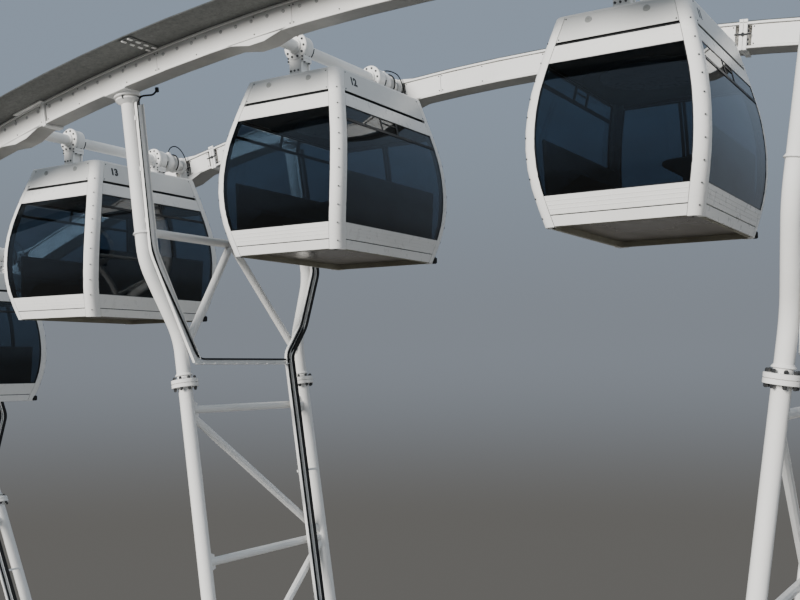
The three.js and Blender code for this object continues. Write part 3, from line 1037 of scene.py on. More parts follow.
def make_cabins():
    """Every cabin is the same set of meshes, hung at its own axle. Only the number and the cable differ."""
    parts = [
        ("shell", cabin_shell(), "cabin_white", "cabin_white"),
        ("fascias", cabin_fascias(), "cabin_white", "fascia_white"),
        ("glass", cabin_glass(), "cabin_glass", "cabin_glass"),
        ("trim", cabin_trim(), "dark_trim", "dark_trim"),
        ("lining", cabin_lining(), "cabin_lining", "cabin_lining"),
        ("ceiling_disc", cabin_ceiling_disc(), "led_strip", "led_strip"),
        ("hangers", cabin_hangers(), "frame_white", "frame_white"),
        ("screws", cabin_fittings(), "bare_steel", "dark_bolts"),
        ("bolts", cabin_bolts(), "bare_steel", "dark_bolts"),
        ("caps", cabin_caps(), "bare_steel", "cap_grey"),
        ("rubber", cabin_rubber(), "black_rubber", "black_rubber"),
        ("underside", cabin_underside(), "cabin_lining", "under_paint"),
        ("floor_plate", cabin_floor_plate(), "bare_steel", "under_plate"),
    ]
    meshes = meshes_of("cabin", parts)
    cables = {}
    for name in cabin_names:
        body = f"{name}_swing"
        for part, slot, data in meshes:
            stands_for = (name,) if part == "shell" else ()
            place(f"{name}_{part}", data, body, axles[name], 0.0, stands_for)
        place(f"{name}_number", number_mesh(int(name[-2:])), body, axles[name])
        height = round(min(arch_height, cad_bounds[1][2] - axles[name].z - 0.006), 4)
        if height not in cables:
            cables[height] = made(cable_arch(height), f"cabin_cable_{len(cables)}", finishes["black_rubber"])
        place(f"{name}_cable", cables[height], body, axles[name])


# Rims and drive bands


def rim_section(side, near, far, inner, outer, bevel):
    """A square outline of radius and depth on one side of the wheel."""
    return [(r, side * y) for r, y in cut_rectangle(inner, near, outer, far, bevel)]


def seam_angles():
    """Where the cover panels of a rim meet."""
    return [panel_phase + k * panel_pitch for k in range(panel_count)]


def axle_angles():
    """Where the cabins' axles stand at rest."""
    return [rest_turn + (k + 0.5) * cabin_pitch for k in range(len(cabin_names))]


def joint_angles(side):
    """Where two lengths of a rim are bolted together."""
    return [joint_phases[side] + k * spoke_pitch for k in range(spoke_count)]


def panel_pieces(side, inward):
    """Where each cover panel starts and ends. Panels facing inward also stop at the cabin axles."""
    joints_here = joint_angles(side)
    marks = [(angle, panel_seam / 2) for angle in seam_angles() if apart(angle, joints_here) > joint_recess]
    marks += [(angle, joint_recess if inward else joint_gap) for angle in joints_here]
    if inward:
        marks += [(angle, node_gap) for angle in axle_angles()]
    # Where two marks fall on one place, the wider gap counts
    cleared = {}
    for angle, gap in marks:
        key = round(math.degrees(angle) % 360, 1)
        cleared[key] = (angle % (2 * math.pi), max(gap, cleared.get(key, (0, 0))[1]))
    ordered = sorted(cleared.values())
    pieces = []
    for (a, gap_a), (b, gap_b) in zip(ordered, ordered[1:] + ordered[:1]):
        if b < a:
            b += 2 * math.pi
        start = a + gap_a / lamp_circle
        end = b - gap_b / lamp_circle
        if (end - start) * lamp_circle > 0.03:
            pieces.append((start, end))
    return pieces


def apart(angle, others):
    """The smallest distance round the rim between an angle and any of the others."""
    return min(abs((angle - other + math.pi) % (2 * math.pi) - math.pi) for other in others) * lamp_circle


def rim_panels(side, panels, screws):
    """The cover panels of a rim's two faces, each with screws at its corners and along it."""
    inner_face = rim_near[side] + panel_set_in
    outer_face = rim_far[side] - panel_set_in
    faces = [
        (True, inner_face, rim_near[side] + node_depth + 0.001, inner_face, -side),
        (False, rim_far[side] - 0.029, outer_face, outer_face, side),
    ]
    edge = screw_inset / lamp_circle
    for inward, near, far, proud, way in faces:
        outline = rim_section(side, near, far, panel_bottom + 0.001, panel_top - 0.001, 0.002)
        for start, end in panel_pieces(side, inward):
            panels.hoop(outline, start, end, max(1, round((end - start) / panel_step)))
            spots = [start + edge, end - edge]
            if (end - start) * lamp_circle > 0.6:
                spots += [start + (end - start) * share for share in (0.31, 0.74)]
            for angle in spots:
                for radius in (panel_bottom + screw_inset, panel_top - screw_inset):
                    screws.head(polar(radius, angle, side * proud), (0, way, 0), 0.0046, 5)


def rim_lamps(side):
    """Lamp caps in a row round the outer face, left out where a joint stands."""
    shape = Shape()
    for angle in seam_angles():
        for k in range(lamps_per_panel):
            at = angle + (k + 0.5) * panel_pitch / lamps_per_panel
            if apart(at, joint_angles(side)) > joint_gap + 0.012:
                spot = polar(lamp_circle, at, side * (rim_far[side] - 0.0115))
                shape.turned([(lamp_radius, 0.0), (lamp_radius - 0.002, 0.0045)], spot, (0, side, 0), 9)
    return shape


def make_rim(name, side):
    """A box girder with lips, cover panels, bolted joints and a node at every cabin axle."""
    girder = Shape()
    screws = Shape()
    near, far = rim_near[side], rim_far[side]
    core = rim_section(side, near + node_depth, far - 0.028, panel_bottom - 0.003, panel_top + 0.003, 0.0)
    girder.hoop(core)
    for inner in (rim_inner, rim_outer - rim_lip):
        girder.hoop(rim_section(side, near, far, inner, inner + rim_lip, 0.0015))
    rim_panels(side, girder, screws)
    for details, angles in ((rim_joint, joint_angles(side)), (rim_node, axle_angles())):
        plates, bolts = details(side)
        girder.spread(plates, angles)
        screws.spread(bolts, angles)
    fit(name, girder, "frame_white", stands_for=(name,))
    fit(f"{name}_underside", rim_underside(side), "frame_white", "underside_shade_white")
    fit(f"{name}_lamps", rim_lamps(side), "led_strip", "lamp_caps")
    fit(f"{name}_screws", screws, "bare_steel", "dark_bolts")


def inner_flanges(side, plates, bolts, half):
    """Two thick flanges side by side in a recess of the inner face, with their bolts."""
    near = side * (rim_near[side] - 0.004)
    far = side * (rim_near[side] + node_depth + 0.002)
    for way in (-1, 1):
        plates.block((way * 0.001, near, rim_inner - 0.012), (way * half, far, rim_outer), 0.002)
        if side > 0:
            top = rim_outer + 0.015
            plates.block((way * 0.001, near, rim_outer - 0.006), (way * half, band_near - 0.002, top))
        for radius in flange_bolt_circles:
            bolts.head((way * half, side * (rim_near[side] + 0.016), radius), (way, 0, 0), 0.0085)


def rim_joint(side):
    """The bolted flanges where two lengths of rim meet, standing at the top of the wheel."""
    plates = Shape()
    bolts = Shape()
    inner_flanges(side, plates, bolts, joint_inner_half)
    bar = side * (rim_near[side] - 0.0085)
    bolts.rod((-joint_recess, bar, bar_circle), (joint_recess, bar, bar_circle), bar_radius, 8)
    bolts.rod((0, bar - side * 0.004, bar_circle), (0, bar + side * 0.006, bar_circle), 0.011, 10, 0.002)
    near = side * (rim_near[side] + node_depth)
    far = side * (rim_far[side] + 0.004)
    for way in (-1, 1):
        plates.block((way * 0.001, near, rim_inner - 0.014), (way * joint_half, far, rim_outer), 0.0015)
        for radius in outer_bolt_circles:
            bolts.head((way * joint_half, side * (rim_far[side] - 0.02), radius), (way, 0, 0), 0.005)
    return plates, bolts


def rim_node(side):
    """Where a cabin's axle meets the inner face: bolted flanges in a recess, a boss and a haunch below."""
    plates = Shape()
    bolts = Shape()
    inner_flanges(side, plates, bolts, node_half)
    bar = side * (rim_near[side] + 0.006)
    bolts.rod((-node_gap, bar, bar_circle), (node_gap, bar, bar_circle), bar_radius, 8)
    level = rim_inner + 0.004
    ends = [(0.21, 0.0), (-0.21, 0.0)]
    outline = [(x + haunch_shift[side], level - depth) for x, depth in haunch + ends]
    plates.plate(outline, side * rim_near[side], side * rim_far[side])
    if side > 0:
        foot = rim_outer - 0.003
        slope = [(-0.16, foot), (0.16, foot), (0.045, foot + 0.021), (-0.045, foot + 0.021)]
        plates.plate(slope, rim_near[side], band_near - 0.006)
        bore = axle_tube + 0.004
        boss = [(bore, 0.0), (0.062, 0.0), (0.062, 0.012), (0.052, 0.016), (bore, 0.016)]
        plates.turned(boss, (0, rim_near[side], axle_circle), forward, 24, True)
    else:
        saddle = [
            (-0.062, 0.03), (-0.062, -0.03), (-0.035, -0.062), (0.035, -0.062), (0.062, -0.03),
            (0.062, 0.03),
        ]
        outline = [(x, axle_circle + z) for x, z in saddle]
        plates.plate(outline, -rim_near[side] - 0.001, 0.016 - rim_near[side], 0.002)
    return plates, bolts


def rim_underside(side):
    """The darker skin under a rim, which follows the haunches. Its grey is painted shade for the rim's
    underside.
    """
    shape = Shape()
    near = rim_near[side] + 0.003
    far = rim_far[side] - 0.003
    shape.hoop(rim_section(side, near, far, rim_inner - 0.0012, rim_inner + 0.002, 0.0))
    under = Shape()
    rings = []
    for x, depth in haunch:
        low = rim_inner + 0.0028 - depth
        section = cut_rectangle(near, low, far, low + 0.003)
        rings.append([Vector((x + haunch_shift[side], side * y, z)) for y, z in section])
    under.skin(rings)
    shape.spread(under, axle_angles())
    return shape


def make_band(name, side):
    """The thin plate that the drive wheels grip, in lengths with bolted splices and a pad at each joint."""
    plates = Shape()
    trim = Shape()
    splices = [band_phase + k * spoke_pitch for k in range(spoke_count)]
    outline = rim_section(side, band_near, band_far, band_inner, band_outer, 0.001)
    for angle in splices:
        start = angle + band_gap / 2 / band_outer
        plates.hoop(outline, start, start + spoke_pitch - band_gap / band_outer, 12)
    cover = Shape()
    near = side * (rim_far[side] + 0.01)
    far = side * (band_far - 0.012)
    cover.block((-splice_half, near, band_inner - 0.006), (splice_half, far, band_inner - 0.0002), 0.0015)
    plates.spread(cover, splices)
    clips = Shape()
    low, high = band_inner - 0.013, band_inner - 0.005
    for x in (-0.024, 0.024):
        for y in (side * place_y for place_y in clip_places):
            clips.block((x - 0.008, y - 0.018, low), (x + 0.008, y + 0.018, high), 0.003)
    trim.spread(clips, splices)
    pad = Shape()
    near = side * (rim_far[side] - 0.004)
    far = side * (rim_far[side] + 0.030)
    pad.block((pad_start, near, band_inner - 0.010), (pad_end, far, band_inner - 0.0003), 0.0015)
    trim.spread(pad, joint_angles(side))
    fit(name, plates, "galvanised", stands_for=(name,))
    fit(f"{name}_clips", trim, "frame_white")


# Spokes


def bent(corners, reach, steps=6):
    """A path of straight runs with each corner rounded over the same reach."""
    path = [corners[0]]
    for before, corner, after in zip(corners, corners[1:], corners[2:]):
        start = corner + (before - corner).normalized() * reach
        end = corner + (after - corner).normalized() * reach
        for i in range(steps + 1):
            t = i / steps
            path.append(start.lerp(corner, t).lerp(corner.lerp(end, t), t))
    path.append(corners[-1])
    return path


def chord_path(side):
    """The middle line of one chord, from the rim down to the hub."""
    corners = [
        (chord_spread, rim_inner - 0.001), (chord_spread, upper_bend), (chord_spacing, lower_bend),
        (chord_spacing, chord_foot),
    ]
    return bent([Vector((0, side * y, z)) for y, z in corners], bend_reach)


def tray_path(side, shift=0.0):
    """The middle line of the cable tray on the +X face of a chord. The front one turns to cross over."""
    corners = [(0.830, tray_top), (0.830, 12.375), (0.600, 11.970), (0.405, 11.770), (0.405, chord_foot)]
    if side < 0:
        corners = [(0.765, tray_top), (0.775, 12.385), (0.510, tray_level)]
    return bent([Vector((tray_out, side * y + shift, z)) for y, z in corners], 0.04, 3)


def rung_levels():
    """Where the rungs of a spoke stand, from the top down."""
    return [rung_top - rung_pitch * k for k in range(rung_count)]


def chord_fittings(shape, side):
    """The plates, flanges and welds along one chord."""
    spread = side * chord_spread
    spacing = side * chord_spacing
    near = side * (rim_near[side] + 0.004)
    far = side * (rim_far[side] + 0.003)
    shape.block((-0.088, near, rim_inner - 0.009), (0.088, far, rim_inner - 0.0005), 0.001)
    near = side * (rim_far[side] - 0.02)
    far = side * (rim_far[side] - 0.0085)
    shape.block((-0.047, near, panel_bottom), (0.047, far, panel_bottom + 0.024), 0.001)
    flange = [
        (0.083, 0.0), (0.083, -0.014), (0.080, -0.017), (0.060, -0.018), (0.060, -0.023), (0.073, -0.025),
        (0.073, -0.034), (0.058, -0.046), (0.046, -0.056),
    ]
    shape.turned(flange, (0, spread, rim_inner - 0.0088), upward, 22)
    splice = [(0.077, 0.0), (0.081, 0.002), (0.081, 0.022), (0.077, 0.024)]
    for z in (splice_radius + 0.0005, splice_radius - 0.0245):
        shape.turned(splice, (0, spacing, z), upward, 20)
    weld = [(chord_radius, -0.011), (chord_radius + 0.011, -0.006), (chord_radius, 0.010)]
    shape.turned(weld, (0, spread, cross_level - 0.01), upward, 16)
    for z in weld_levels:
        shape.turned(weld, (0, spacing, z), upward, 16)


def spoke_frame():
    """White tubes: both chords with their flanges, the cross tube, the V below it and the ladder."""
    shape = Shape()
    spread = chord_spread - chord_overlap
    spacing = chord_spacing - chord_overlap
    shape.rod((0, -spread, cross_level), (0, spread, cross_level), cross_radius, 14)
    for side in (-1, 1):
        shape.tube(chord_path(side), chord_radius, 16)
        chord_fittings(shape, side)
        shape.rod((0, side * 0.01, cross_level - 0.01), (0, side * spacing, v_foot), v_radius, 14)
    levels = rung_levels()
    for z in levels:
        shape.rod((0, -spacing, z), (0, spacing, z), rung_radius, 10)
        for side in (-1, 1):
            gusset(shape, side, z)
    for i, (z, below) in enumerate(zip(levels, levels[1:])):
        y = spacing if i % 2 else -spacing
        shape.rod((0, y, z - 0.035), (0, -y, below + 0.035), rung_radius, 10)
    return shape


def gusset(shape, side, z):
    """A small plate where a rung and a diagonal meet a chord."""
    edge = side * (chord_spacing - chord_radius * 0.8)
    tip = edge - side * 0.05
    outline = [(edge, z + 0.06), (tip, z + 0.04), (tip, z - 0.04), (edge, z - 0.06)]
    shape.skin([[Vector((x, y, level)) for y, level in outline] for x in (-0.004, 0.004)])


def channel(side, wall=0.003):
    """The section of a cable tray, a channel open on its outer side."""
    half = tray_widths[side] / 2
    return [
        (0.0, -half), (tray_wall, -half), (tray_wall, wall - half), (wall, wall - half),
        (wall, half - wall), (tray_wall, half - wall), (tray_wall, half), (0.0, half),
    ]


def spoke_rails():
    """White cable trays on the chords' +X faces, the one that crosses between them, and their clips."""
    shape = Shape()
    start, end = -0.52, 0.41
    low = tray_level - 0.020
    shape.block((tray_out, start, low), (tray_out + 0.003, end, tray_level + 0.006), 0.0008)
    shape.block((tray_out, start, low), (tray_out + tray_wall, end, low + 0.003), 0.0008)
    for k in range(9):
        y = start + 0.06 + (end - start - 0.12) * k / 8
        shape.block((tray_out, y - 0.008, low - 0.002), (tray_out + 0.026, y + 0.008, low + 0.006))
    for side in (-1, 1):
        path = tray_path(side, tray_shifts[side])
        shape.sweep(path, channel(side), Vector((1, 0, 0)))
        y = path[0].y
        edge = y - tray_widths[side] / 2
        for drop in (0.10, 0.42, 0.74):
            z = path[0].z - drop
            shape.block((0.028, edge - 0.008, z - 0.014), (tray_out + 0.008, edge + 0.006, z + 0.014))
            shape.block((0.028, y - 0.02, z - 0.010), (tray_out + 0.002, y + 0.02, z + 0.010))
    for z in rung_levels():
        shape.block((0.016, 0.385, z - 0.010), (tray_out + 0.002, 0.425, z + 0.010))
        level = z - rung_pitch / 2
        arm_end = (tray_out - 0.001, chord_spacing, level + 0.008)
        shape.block((tray_out - 0.010, 0.352, level - 0.008), arm_end)
    return shape


def spoke_cables():
    """Black cables in the trays, the thick one beside the back tray, and the leads up to the rim."""
    shape = Shape()
    out = tray_out + 0.010
    crossing = tray_level + 0.012
    corners = [
        (-0.783, tray_top), (-0.790, 12.42), (-0.752, 12.29), (-0.600, 11.975), (-0.492, crossing),
        (0.40, crossing),
    ]
    shape.tube(bent([Vector((out, y, z)) for y, z in corners], 0.05, 4), 0.0062, 6)
    for shift, radius, sides in ((-0.020, 0.0065, 6), (0.026, 0.0165, 8)):
        path = [point + Vector((0.010, 0, 0)) for point in tray_path(1, shift)]
        shape.tube(path, radius, sides)
    for side, start in ((-1, 0.765), (1, 0.830)):
        corners = [
            (0.056, start, tray_top - 0.01), (0.057, start, 13.345), (0.080, start - 0.003, 13.360),
            (0.125, start - 0.012, 13.352), (0.160, start - 0.022, 13.346), (0.185, start - 0.032, 13.372),
        ]
        lead = [Vector((x, side * y, z)) for x, y, z in corners]
        shape.tube(smoothed(lead, 2), 0.0058, 8)
        plug = Vector((0, 0, 0.012))
        shape.rod(lead[-1] - plug, lead[-1] + Vector((0, 0, rim_inner - 13.3715)), 0.012, 10)
    return shape


def spoke_bolts():
    """Bolts of the top flanges and of the splices."""
    shape = Shape()
    nut = [(0.0115, 0.0), (0.0115, -0.015), (0.006, -0.022)]
    bolt = [(0.010, 0.0), (0.010, 0.012), (0.005, 0.018)]
    for side in (-1, 1):
        for k, angle in enumerate(even_turns(8, 0.5)):
            if k % 2:
                spot = polar(0.064, angle)
                at = (spot.x, side * chord_spread + spot.z, rim_inner - 0.0255)
                shape.turned(nut, at, upward, 6)
            spot = polar(0.065, angle)
            for way in (-1, 1):
                at = (spot.x, side * chord_spacing + spot.z, splice_radius + way * 0.0245)
                shape.turned(bolt, at, (0, 0, way), 6)
    return shape


def make_spokes():
    """Twenty-one spokes share their meshes and turn about the hub."""
    parts = [
        ("frame", spoke_frame(), "frame_white", "frame_white"),
        ("rails", spoke_rails(), "frame_white", "cabin_white"),
        ("cables", spoke_cables(), "black_rubber", "black_rubber"),
        ("bolts", spoke_bolts(), "bare_steel", "dark_bolts"),
    ]
    meshes = meshes_of("spoke", parts)
    for index in range(spoke_count):
        angle = (index + 0.5) * spoke_pitch + rest_turn
        for part, slot, data in meshes:
            stands_for = (f"spoke_set_{index // spokes_in_set + 1}",) if part == "frame" else ()
            place(f"spoke_{index + 1:02d}_{part}", data, "wheel", hub, angle, stands_for)
    sector, sector_bolts = hub_sectors()
    plates = made(sector, "hub_sector", finishes["frame_white"])
    heads = made(sector_bolts, "hub_sector_bolts", finishes["bare_steel"])
    for index in range(spoke_count // spokes_in_set):
        name = f"spoke_set_{index + 1}"
        angle = (spokes_in_set * index + spokes_in_set / 2) * spoke_pitch + rest_turn
        place(f"{name}_sector", plates, "wheel", hub, angle, (name,))
        place(f"{name}_sector_bolts", heads, "wheel", hub, angle)


# Hub and shaft


def ribbed(shape, outline, angles, half):
    """Thin plates standing out from the axis, each an outline of radius and depth."""
    for angle in angles:
        across = polar(1.0, angle + math.pi / 2) * half
        shape.skin([[polar(r, angle, y) + across * way for r, y in outline] for way in (-1, 1)])


def hub_spool():
    """The spool with its ribs and splice rings."""
    shape = Shape()
    spool = [
        (hub_bore, -hub_outer), (hub_disc - 0.012, -hub_outer), (hub_disc, -hub_outer + 0.012),
        (hub_disc, -hub_inner - 0.006), (hub_disc - 0.006, -hub_inner), (hub_barrel + 0.03, -hub_inner),
        (hub_barrel, -hub_inner + 0.03), (hub_barrel, hub_inner - 0.03), (hub_barrel + 0.03, hub_inner),
        (hub_disc - 0.006, hub_inner), (hub_disc, hub_inner + 0.006), (hub_disc, hub_outer - 0.012),
        (hub_disc - 0.012, hub_outer), (hub_bore, hub_outer),
    ]
    shape.turned(spool, origin, (0, 1, 0), 84, True)
    root, edge, crest = hub_barrel - 0.01, hub_disc - 0.05, hub_barrel + 0.12
    inner = [
        (root, -hub_inner + 0.005), (edge, -hub_inner - 0.005), (edge, -0.36), (crest, -0.22),
        (crest, 0.22), (edge, 0.36), (edge, hub_inner + 0.005), (root, hub_inner - 0.005),
    ]
    ribbed(shape, inner, [rest_turn + k * spoke_pitch for k in range(spoke_count)], 0.009)
    boss = [
        (hub_bore, -0.002), (0.345, -0.002), (0.345, 0.072), (0.333, 0.084), (0.26, 0.086), (hub_bore, 0.086),
    ]
    rib = [(0.34, -0.003), (0.86, -0.003), (0.86, 0.012), (0.40, 0.066), (0.34, 0.066)]
    for side in (-1, 1):
        face = side * hub_outer
        shape.turned(boss, (0, face, 0), (0, side, 0), 48, True)
        ribbed(shape, [(radius, face + side * out) for radius, out in rib], even_turns(14), 0.008)
        ring = cut_rectangle(hub_ring[0], face, hub_ring[1], face + side * hub_ring_depth)
        shape.hoop(ring, 0.0, None, 84)
    return shape


def main_shaft():
    """The stepped shaft with a collar inside each bearing."""
    shape = Shape()
    half_profile = [
        (0.05, 2.118), (0.15, shaft_half), (0.178, shaft_half - 0.006), (0.18, 2.098), (0.205, 2.096),
        (shaft_radius, 2.082), (shaft_radius, 1.50), (0.262, 1.497), (0.268, 1.49), (0.268, 1.42),
        (0.262, 1.413), (0.236, 1.41), (0.232, 1.40), (0.232, 0.80), (shaft_radius, 0.77),
    ]
    profile = half_profile + [(radius, -distance) for radius, distance in reversed(half_profile)]
    shape.turned(profile, origin, (0, 1, 0), 48)
    return shape


def hub_bolts():
    """Rings of bolts on the hub's faces and on the shaft's ends."""
    bolts = Shape()
    # Radius, distance out, angles and size of each ring
    bolt_rings = [
        (0.285, hub_outer + 0.086, even_turns(12), 0.013),
        (0.115, shaft_half - 0.001, even_turns(8), 0.0138),
    ]
    for radius in hub_ring_bolts:
        bolt_rings.append((radius, hub_outer + hub_ring_depth, even_turns(hub_ring_count, 0.5), 0.011))
    for side in (-1, 1):
        for radius, out, angles, size in bolt_rings:
            for angle in angles:
                bolts.head(polar(radius, angle, side * out), (0, side, 0), size)
    return bolts


def make_hub():
    """The hub and the shaft through it."""
    fit("hub_drum", hub_spool(), "frame_white", stands_for=("hub_drum",))
    fit("main_shaft", main_shaft(), "shaft_steel", stands_for=("main_shaft",))
    fit("hub_bolts", hub_bolts(), "bare_steel")


def hub_sectors():
    """The curved flange plates that join three spokes, with a socket and gussets under each chord."""
    shape = Shape()
    bolts = Shape()
    half = spokes_in_set * spoke_pitch / 2 - sector_gap / 2
    inner = hub_disc + 0.0003
    steps = [step * spoke_pitch for step in (-1, 0, 1)]
    discs = [
        [(0.084, -0.006), (0.086, 0.012), (0.084, 0.014)],
        [(0.084, 0.016), (0.086, 0.018), (0.084, 0.036), (0.046, 0.04)],
    ]
    for side in (-1, 1):
        middle = side * chord_spacing
        near, far = middle - sector_half, middle + sector_half
        outline = [
            (inner, near), (sector_outer - 0.008, near), (sector_outer, near + 0.008),
            (sector_outer, far - 0.008), (sector_outer - 0.008, far), (inner, far),
        ]
        shape.hoop(outline, -half, half, 24)
        foot = Shape()
        for disc in discs:
            foot.turned(disc, (0, middle, sector_outer), upward, 24)
        low = sector_outer + 0.036
        for sx in (-1, 1):
            web = [(sx * 0.03, low), (sx * 0.08, low), (sx * 0.03, sector_outer + 0.15)]
            foot.plate(web, middle - 0.005, middle + 0.005)
        shape.spread(foot, steps)
        heads = Shape()
        for angle in even_turns(8, 0.5):
            spot = polar(0.067, angle)
            heads.head((spot.x, middle + spot.z, low), upward, 0.009)
        bolts.spread(heads, steps)
    return shape, bolts


# Supports


def housing(side):
    """A split pillow block: a thick round shell over a flat foot."""
    shape = Shape()
    start, end = side * bearing_near, side * bearing_far
    near, far = sorted((start, end))
    middle = (near + far) / 2
    steps = 32
    # The upper and the lower half are each set a little off the split
    for first, lift in ((-0.25, 0.0015), (0.25, -0.0015)):
        rings = []
        for k in range(steps + 1):
            angle = 2 * math.pi * (first + 0.5 * k / steps)
            reach = bearing_radius
            if math.cos(angle) < -1e-6:
                flank = bearing_radius / max(abs(math.sin(angle)), 1e-6)
                reach = min(flank, (bearing_drop - 0.04) / -math.cos(angle))
            outline = [
                (bearing_bore, start), (reach - 0.016, start), (reach, start + side * 0.016),
                (reach, end - side * 0.016), (reach - 0.016, end), (bearing_bore, end),
            ]
            rings.append([polar(radius, angle, y) + Vector((0, 0, lift)) for radius, y in outline])
        shape.skin(rings)
    foot_top = 0.085 - bearing_drop
    shape.block((-bearing_foot, near, -bearing_drop), (bearing_foot, far, foot_top), 0.008)
    for sx in (-1, 1):
        for z0, z1 in ((-0.052, -0.0015), (0.0015, 0.052)):
            shape.block((sx * 0.36, near + 0.03, z0), (sx * 0.475, far - 0.03, z1), 0.005)
        web = [(0.40, -0.37), (0.545, -0.37), (0.545, -0.34), (0.47, -0.05), (0.40, -0.05)]
        for y in (near + 0.05, middle, far - 0.05):
            shape.plate([(sx * x, z) for x, z in web], y - 0.012, y + 0.012)
    cover = [(0.229, 0.0), (0.355, 0.0), (0.355, 0.010), (0.345, 0.016), (0.25, 0.018), (0.229, 0.012)]
    for y, way in ((near, -1), (far, 1)):
        shape.turned(cover, (0, y, 0), (0, way, 0), 48, True)
    shape.turned([(0.05, -0.02), (0.05, 0.012), (0.03, 0.018)], (0, middle, bearing_radius), upward, 20)
    eye = Shape()
    eye.hoop(cut_rectangle(0.034, -0.010, 0.050, 0.010), 0.0, None, 20)
    shape.take(eye, [Matrix.Translation((0, middle, bearing_radius + 0.052))])
    return shape


def housing_bolts(side):
    """Bolts of the split, of the foot and of both covers."""
    bolts = Shape()
    near, far = sorted((side * bearing_near, side * bearing_far))
    middle = (near + far) / 2
    nut = [(0.034, 0.0), (0.034, 0.006), (0.022, 0.007), (0.022, 0.03), (0.012, 0.032), (0.012, 0.05)]
    for sx in (-1, 1):
        for y in (near + 0.07, middle - 0.06, middle + 0.06, far - 0.07):
            for way in (-1, 1):
                bolts.head((sx * 0.448, y, way * 0.052), (0, 0, way), 0.017)
        for y in (near + 0.11, far - 0.11):
            bolts.turned(nut, (sx * 0.512, y, 0.085 - bearing_drop), upward, 12)
    for y, way in ((near, -1), (far, 1)):
        for angle in even_turns(12, 0.5):
            bolts.head(polar(0.318, angle, y + way * 0.016), (0, way, 0), 0.012)
    return bolts


def leg_axis(side, hand):
    """The middle line of a leg, from its head to its foot."""
    middle = side * (bearing_near + bearing_far) / 2
    top = Vector((hand * leg_top_x, middle, head_top - head_depth / 2))
    foot = Vector((hand * foot_x, side * foot_y, foot_thickness / 2))
    return top, foot


def leg_radius(share):
    """A leg's radius at a share of the way down from its head."""
    return leg_top_radius + (leg_foot_radius - leg_top_radius) * share


def leg_ring(top, foot, share, grow=0.0, sides=40, turn=0.5):
    """A ring round a leg, at a share of the way down from its head."""
    radius = leg_radius(share) + grow
    axis = (foot - top).normalized()
    side = axis.orthogonal().normalized()
    up = axis.cross(side)
    middle = top.lerp(foot, share)
    return [middle + (side * math.cos(a) + up * math.sin(a)) * radius for a in even_turns(sides, turn)]


def leg(shape, bolts, side, hand):
    """A tapered tube in three lengths, with bolted flanges between them and a gusseted foot."""
    top, foot = leg_axis(side, hand)
    length = (foot - top).length
    axis = (foot - top).normalized()
    low = leg_ring(top, foot, 0.98)
    lower = leg_ring(top, foot, 1.0)
    cut = [a + (b - a) * ((foot_thickness - 0.004 - a.z) / (b.z - a.z)) for a, b in zip(low, lower)]
    shape.skin([leg_ring(top, foot, 0.0), leg_ring(top, foot, 0.5), cut])
    for share in leg_splices:
        for start in (-0.034, 0.002):
            end = start + 0.032
            levels = [(start, 0.0), (start, 0.062), (end, 0.062), (end, 0.0)]
            shape.skin([leg_ring(top, foot, share + step / length, grow) for step, grow in levels])
        for spot in leg_ring(top, foot, share, 0.035, 20, 0.0):
            for way in (-1, 1):
                bolts.head(spot + axis * way * 0.034, axis * way, 0.017)
    leg_foot(shape, bolts, foot, (top - foot).normalized())


def leg_foot(shape, bolts, foot, lean):
    """The base plate of a leg with its gussets and holding-down nuts."""
    x, y = foot.x, foot.y
    shape.block((x - foot_half, y - foot_half, 0.0), (x + foot_half, y + foot_half, foot_thickness), 0.006)
    drift = Vector((lean.x, lean.y, 0)) / lean.z * 0.34
    base = foot_thickness - 0.003
    for k in range(8):
        angle = math.pi / 4 * k + math.pi / 8
        out = Vector((math.cos(angle), math.sin(angle), 0))
        across = Vector((-out.y, out.x, 0)) * 0.012
        root = Vector((x, y, 0)) + out * 0.22
        outline = [
            (root, base), (root + out * 0.25, base), (root + out * 0.25, base + 0.03),
            (root + out * 0.09 + drift, base + 0.34), (root + drift, base + 0.34),
        ]
        shape.skin([[Vector((p.x, p.y, z)) + across * way for p, z in outline] for way in (-1, 1)])
    nut = [
        (0.036, 0.0), (0.036, 0.006), (0.026, 0.007), (0.026, 0.03), (0.0135, 0.032), (0.0135, 0.07),
        (0.010, 0.074),
    ]
    for u in (-0.435, -0.145, 0.145, 0.435):
        for sx, sy in ((u, -0.44), (0.44, u), (-u, 0.44), (-0.44, -u)):
            bolts.turned(nut, (x + sx, y + sy, foot_thickness), upward, 12)


def support_head(shape, side):
    """The box at the top of a support: two plates, a core and ribs round it."""
    near, far = sorted((side * (bearing_near - 0.02), side * (bearing_far + 0.02)))
    low = head_top - head_depth
    shape.block((-head_half, near, head_top - 0.035), (head_half, far, head_top), 0.004)
    shape.block((-head_half, near, low), (head_half, far, low + 0.03), 0.004)
    half = head_half - 0.035
    shape.block((-half, near + 0.035, low + 0.02), (half, far - 0.035, head_top - 0.03))
    for x in (-0.50, -0.25, 0.0, 0.25, 0.50):
        shape.block((x - 0.010, near + 0.008, low + 0.028), (x + 0.010, far - 0.008, head_top - 0.033))


